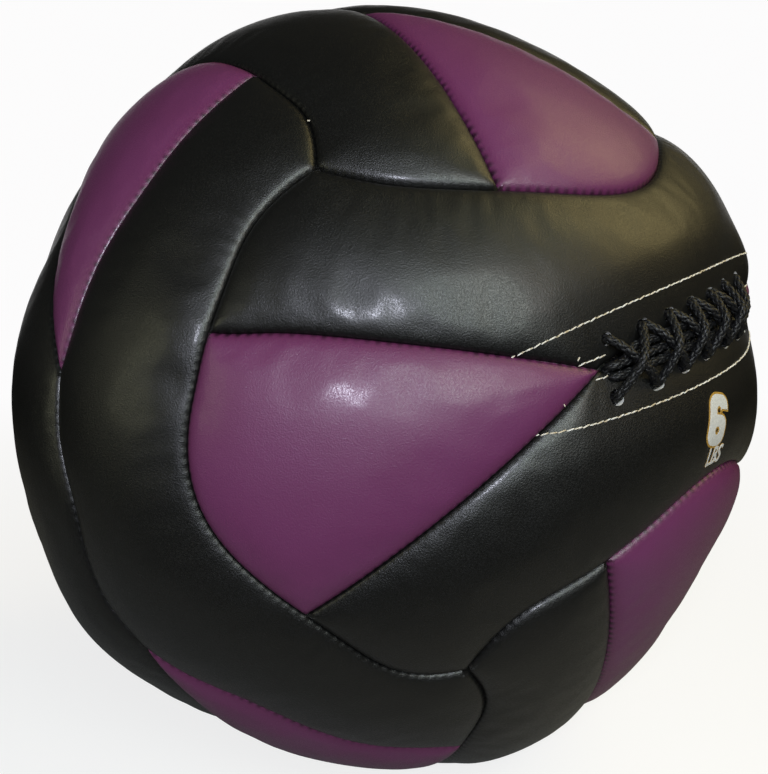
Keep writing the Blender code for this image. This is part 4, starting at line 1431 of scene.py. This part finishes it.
lace_mesh = mesh_of("lace_braid", *joined(tubes))
store(lace_mesh, "around", np.tile(np.arange(YARN_SIDES) / YARN_SIDES, len(lace_runs) * len(tubes)))
store(lace_mesh, "along", np.tile(np.repeat(lace_runs, YARN_SIDES), len(tubes)))
lace_finish = Finish("black_braid", Specular_IOR_Level=0.4)
twist = lace_finish.attribute("around") * YARN_TWISTS + lace_finish.attribute("along") / YARN_LAY
fibre = (twist * (2 * math.pi)).cosine()
fray = lace_finish.clouds(FRAY_SIZE)
lace_finish.relief((fibre * FIBRE_SHARE + fray) * FIBRE_DEPTH)
add_piece("lace_braid", lace_mesh, lace_finish.vary(
    Base_Color=lace_finish.blend(fray, BLACK_YARN, WORN_YARN),
    Roughness=YARN_ROUGHNESS + fray * FRAY_ROUGHNESS), "lace_cord", "lace")

# The weight, printed on the lower flap as a plain figure over its unit: white ink with a thin
# gold edge, pressed on hot, so that it follows the leather.
FIGURE_HEIGHT = 0.0200
FIGURE_WIDTH = 0.0122
FIGURE_STROKE = 0.0045
FIGURE_PLACE = (-0.0060, -0.0357)
FIGURE_TURN = math.radians(-20)
UNIT_HEIGHT = 0.0076
UNIT_NARROW = 0.74
UNIT_PLACE = (-0.0070, -0.0504)
UNIT_TURN = math.radians(-6)
UNIT_BOLD = 0.00012
UNIT_EDGE = 0.0002
INK_THICKNESS = 0.00012
EDGE_WIDTH = 0.0008
INK_STEP = 0.0012
CAP_SHARE = 0.73
UNIT_SLANT = 0.2
ARC_POINTS = 9
MERGE_DISTANCE = 1e-6
SPECK_SIZE, SPECK_GAIN, SPECK_CUT = 0.0007, 3.0, 1.3
INK_ROUGHNESS, SPECK_ROUGHNESS = 0.4, 0.2
WHITE_INK, WORN_WHITE = (0.72, 0.72, 0.71), (0.55, 0.55, 0.53)
GOLD_INK, WORN_GOLD = (0.52, 0.30, 0.05), (0.34, 0.19, 0.03)


def arc(x, y, radius, start, stop):
    """Points on an arc round (x, y) from one angle to another, in degrees."""
    return [(x + radius * math.cos(angle), y + radius * math.sin(angle))
            for angle in np.radians(np.linspace(start, stop, ARC_POINTS))]


def six_outlines():
    """A plain block six: its outer edge with the notch at the right, and its bowl's hole."""
    width, height, stroke = FIGURE_WIDTH, FIGURE_HEIGHT, FIGURE_STROKE
    outer, inner = stroke, (width - 2 * stroke) / 2
    bowl = height / 2 + stroke / 2
    outline = arc(outer, outer, outer, 180, 270) + arc(width - outer, outer, outer, 270, 360)
    outline += arc(width - outer, bowl - outer, outer, 0, 90)
    outline += [(stroke, bowl)] + arc(stroke + inner, height - stroke - inner, inner, 180, 0)
    outline += [(width - stroke, bowl + stroke / 2), (width, bowl + stroke / 2)]
    outline += arc(width - outer, height - outer, outer, 0, 90)
    outline += arc(outer, height - outer, outer, 90, 180)
    hole = arc(width / 2, stroke + inner, inner, 180, 360)
    hole += arc(width / 2, bowl - stroke - inner, inner, 0, 180)
    return [[(x - width / 2, y - height / 2) for x, y in line] for line in (outline, hole)]


def figure_curve():
    letters = bpy.data.curves.new("figure", "CURVE")
    letters.dimensions = "2D"
    letters.fill_mode = "BOTH"
    for line in six_outlines():
        spline = letters.splines.new("POLY")
        spline.points.add(len(line) - 1)
        spline.use_cyclic_u = True
        for point, (x, y) in zip(spline.points, line):
            point.co = (x, y, 0, 1)
    return letters


def unit_curve():
    letters = bpy.data.curves.new("unit", "FONT")
    letters.body = "LBS"
    letters.size = UNIT_HEIGHT / CAP_SHARE
    letters.align_x = "CENTER"
    letters.align_y = "CENTER"
    letters.shear = UNIT_SLANT
    return letters


def ink_mesh(letters, place, angle, narrow, bold, level):
    """Plain lettering wrapped on to the skin: bold widens its strokes, level lifts its film."""
    letters.offset = bold
    letters.extrude = 0.5
    flat = add_object("letters", letters)
    mesh = bpy.data.meshes.new_from_object(evaluated(flat))
    bpy.data.objects.remove(flat)
    bm = bmesh.new()
    bm.from_mesh(mesh)
    bmesh.ops.remove_doubles(bm, verts=bm.verts, dist=MERGE_DISTANCE)
    for axis in (Vector((1, 0, 0)), Vector((0, 1, 0))):
        for step in np.arange(-FIGURE_HEIGHT, FIGURE_HEIGHT, INK_STEP):
            bmesh.ops.bisect_plane(bm, geom=bm.verts[:] + bm.edges[:] + bm.faces[:],
                                   plane_co=axis * step, plane_no=axis)
    turned = Matrix.Rotation(angle, 3, "Z") @ Matrix.Diagonal((narrow, 1, 1))
    for vert in bm.verts:
        spot = turned @ vert.co
        point, normal = on_flap(place[0] + spot.x, place[1] + spot.y)
        film = level if vert.co.z > 0 else -INK_THICKNESS
        vert.co = point + normal * film
    written(bm, mesh).materials.clear()
    return mesh


def ink_finish(name, colour, worn):
    finish = Finish(name)
    specks = finish.clouds(SPECK_SIZE, 4.0)
    fresh = specks.stretched(SPECK_GAIN, SPECK_CUT)
    return finish.vary(Base_Color=finish.blend(fresh, worn, colour),
                       Roughness=INK_ROUGHNESS + specks * SPECK_ROUGHNESS)


white_ink = ink_finish("white_ink", WHITE_INK, WORN_WHITE)
gold_ink = ink_finish("gold_ink", GOLD_INK, WORN_GOLD)
for name, curve, place, angle, narrow, bold, edge in (
        ("figure", figure_curve, FIGURE_PLACE, FIGURE_TURN, 1, 0.0, EDGE_WIDTH),
        ("unit", unit_curve, UNIT_PLACE, UNIT_TURN, UNIT_NARROW, UNIT_BOLD, UNIT_EDGE)):
    add_piece(f"weight_{name}_edge", ink_mesh(curve(), place, angle, narrow, bold + edge,
                                              INK_THICKNESS), gold_ink, "lace_cord")
    add_piece(f"weight_{name}", ink_mesh(curve(), place, angle, narrow, bold,
                                         2 * INK_THICKNESS), white_ink, "lace_cord")

# The ball is laid down: the place where it lies goes into the mesh of every piece
for piece in made_pieces:
    piece.data.transform(ball_place)

# The studio: a pale floor that keeps the ball's shadow, white surroundings, soft lamps by the
# camera and the camera where the photograph was taken from.
VIEW_AZIMUTH, VIEW_ELEVATION = -48.0, 12.0
VIEW_DISTANCE = 0.6045
PICTURE_HEIGHT = 774
FOCAL_PIXELS = 1226.0
CENTRE_RIGHT_PIXELS, CENTRE_DOWN_PIXELS = 1.9, 1.27
SENSOR = 0.036
FLOOR_SIZE = 12.0
FLOOR_FRONT = 0.35
FLOOR_FADE = 0.20
FLOOR_NEAR, FLOOR_FAR = 0.25, 0.90
FLOOR_GREY = (0.28, 0.28, 0.28)
NEAR_GLOW = (0.76, 0.76, 0.76)
BACKDROP_WHITE = (0.975, 0.970, 0.972)
ROOM_COLOUR = (0.02, 0.02, 0.02)
PAPER_EDGE = math.radians(36)
PAPER_FADE = 2.0
LAMP_DISTANCE = 1.8


def way_to(azimuth, elevation):
    """The direction at an azimuth and an elevation in degrees."""
    azimuth, elevation = math.radians(azimuth), math.radians(elevation)
    return Vector((math.sin(azimuth) * math.cos(elevation),
                   -math.cos(azimuth) * math.cos(elevation), math.sin(elevation)))


towards = way_to(VIEW_AZIMUTH, VIEW_ELEVATION)
level = Vector((towards.x, towards.y, 0))
bm = bmesh.new()
bmesh.ops.create_grid(bm, x_segments=1, y_segments=1, size=FLOOR_SIZE / 2)
bmesh.ops.bisect_plane(bm, geom=bm.verts[:] + bm.edges[:] + bm.faces[:], clear_outer=True,
                       plane_co=level.normalized() * FLOOR_FRONT, plane_no=level)
floor = add_object("floor", written(bm, bpy.data.meshes.new("floor")))
floor_finish = Finish("floor_paper", Roughness=1.0, Emission_Strength=1.0,
                      Specular_IOR_Level=0.0)


def on_paper(facing):
    """How far a direction lies on the white paper behind the ball, from its cosine to there."""
    edge = math.cos(PAPER_EDGE)
    return ((facing - edge) / (1 - edge) * PAPER_FADE).clamped()


spot = floor_finish.place()
away = floor_finish.node("ShaderNodeVectorMath", {"operation": "LENGTH"}, {0: spot}, "Value")
behind = floor_finish.dot(spot, -level)
front = (-1.0 * behind).between(FLOOR_FADE, FLOOR_FRONT)
far = (away.between(FLOOR_NEAR, FLOOR_FAR) + front).clamped()
shown = floor_finish.shown(far * on_paper(behind / away))
glow = floor_finish.blend(far, NEAR_GLOW, BACKDROP_WHITE)
floor.data.materials.append(floor_finish.vary(
    Base_Color=floor_finish.blend(far, FLOOR_GREY, (0, 0, 0)),
    Emission_Color=floor_finish.blend(shown, (0, 0, 0), glow)))

world = bpy.data.worlds.new("surroundings")
bpy.context.scene.world = world
world.use_nodes = True
sky = Tree(world.node_tree)
room = sky.node("ShaderNodeBackground", sockets={"Color": ROOM_COLOUR, "Strength": 1.0})
paper = sky.node("ShaderNodeBackground", sockets={"Color": BACKDROP_WHITE, "Strength": 1.0})
shown = sky.shown(on_paper(sky.dot(sky.place("Generated"), -towards)))
backdrop = sky.node("ShaderNodeMixShader", sockets={0: shown, 1: room, 2: paper})
sky.feed(world.node_tree.nodes["World Output"].inputs["Surface"], backdrop)

# Each lamp: its name, azimuth, elevation, size, power and colour
for name, azimuth, elevation, size, power, colour in (
        ("flash", -56, 20, 0.2, 14.3, (0.83, 0.85, 1.0)),
        ("umbrella", -33, 26, 0.8, 12.4, (0.84, 1.0, 0.92)),
        ("bounce", -18, 30, 0.8, 6.2, (1.0, 0.88, 0.82)),
        ("bulb", 42, 45, 1.2, 7.5, (1.0, 0.79, 0.33)),
        ("ceiling", 12, 60, 1.0, 1.8, (0.85, 1.0, 0.70)),
        ("window", 62, 45, 1.2, 5.0, (1.0, 0.82, 0.36)),
        ("left", -108, 15, 0.8, 3.6, (1.0, 1.0, 0.68))):
    light = bpy.data.lights.new(name, "AREA")
    light.size, light.energy, light.color = size, power, colour
    lamp = add_object(name, light)
    way = way_to(azimuth, elevation)
    lamp.location = Vector((0, 0, rest_height)) + way * LAMP_DISTANCE
    lamp.rotation_euler = way.to_track_quat("Z", "Y").to_euler()

lens = bpy.data.cameras.new("camera")
camera = add_object("camera", lens)
bpy.context.scene.camera = camera
camera.location = ball_place.translation + towards * VIEW_DISTANCE
camera.rotation_euler = towards.to_track_quat("Z", "Y").to_euler()
lens.sensor_width = SENSOR * 1000
lens.lens = FOCAL_PIXELS / PICTURE_HEIGHT * lens.sensor_width
lens.shift_x = -CENTRE_RIGHT_PIXELS / PICTURE_HEIGHT
lens.shift_y = CENTRE_DOWN_PIXELS / PICTURE_HEIGHT
bpy.context.scene.view_settings.view_transform = "Standard"
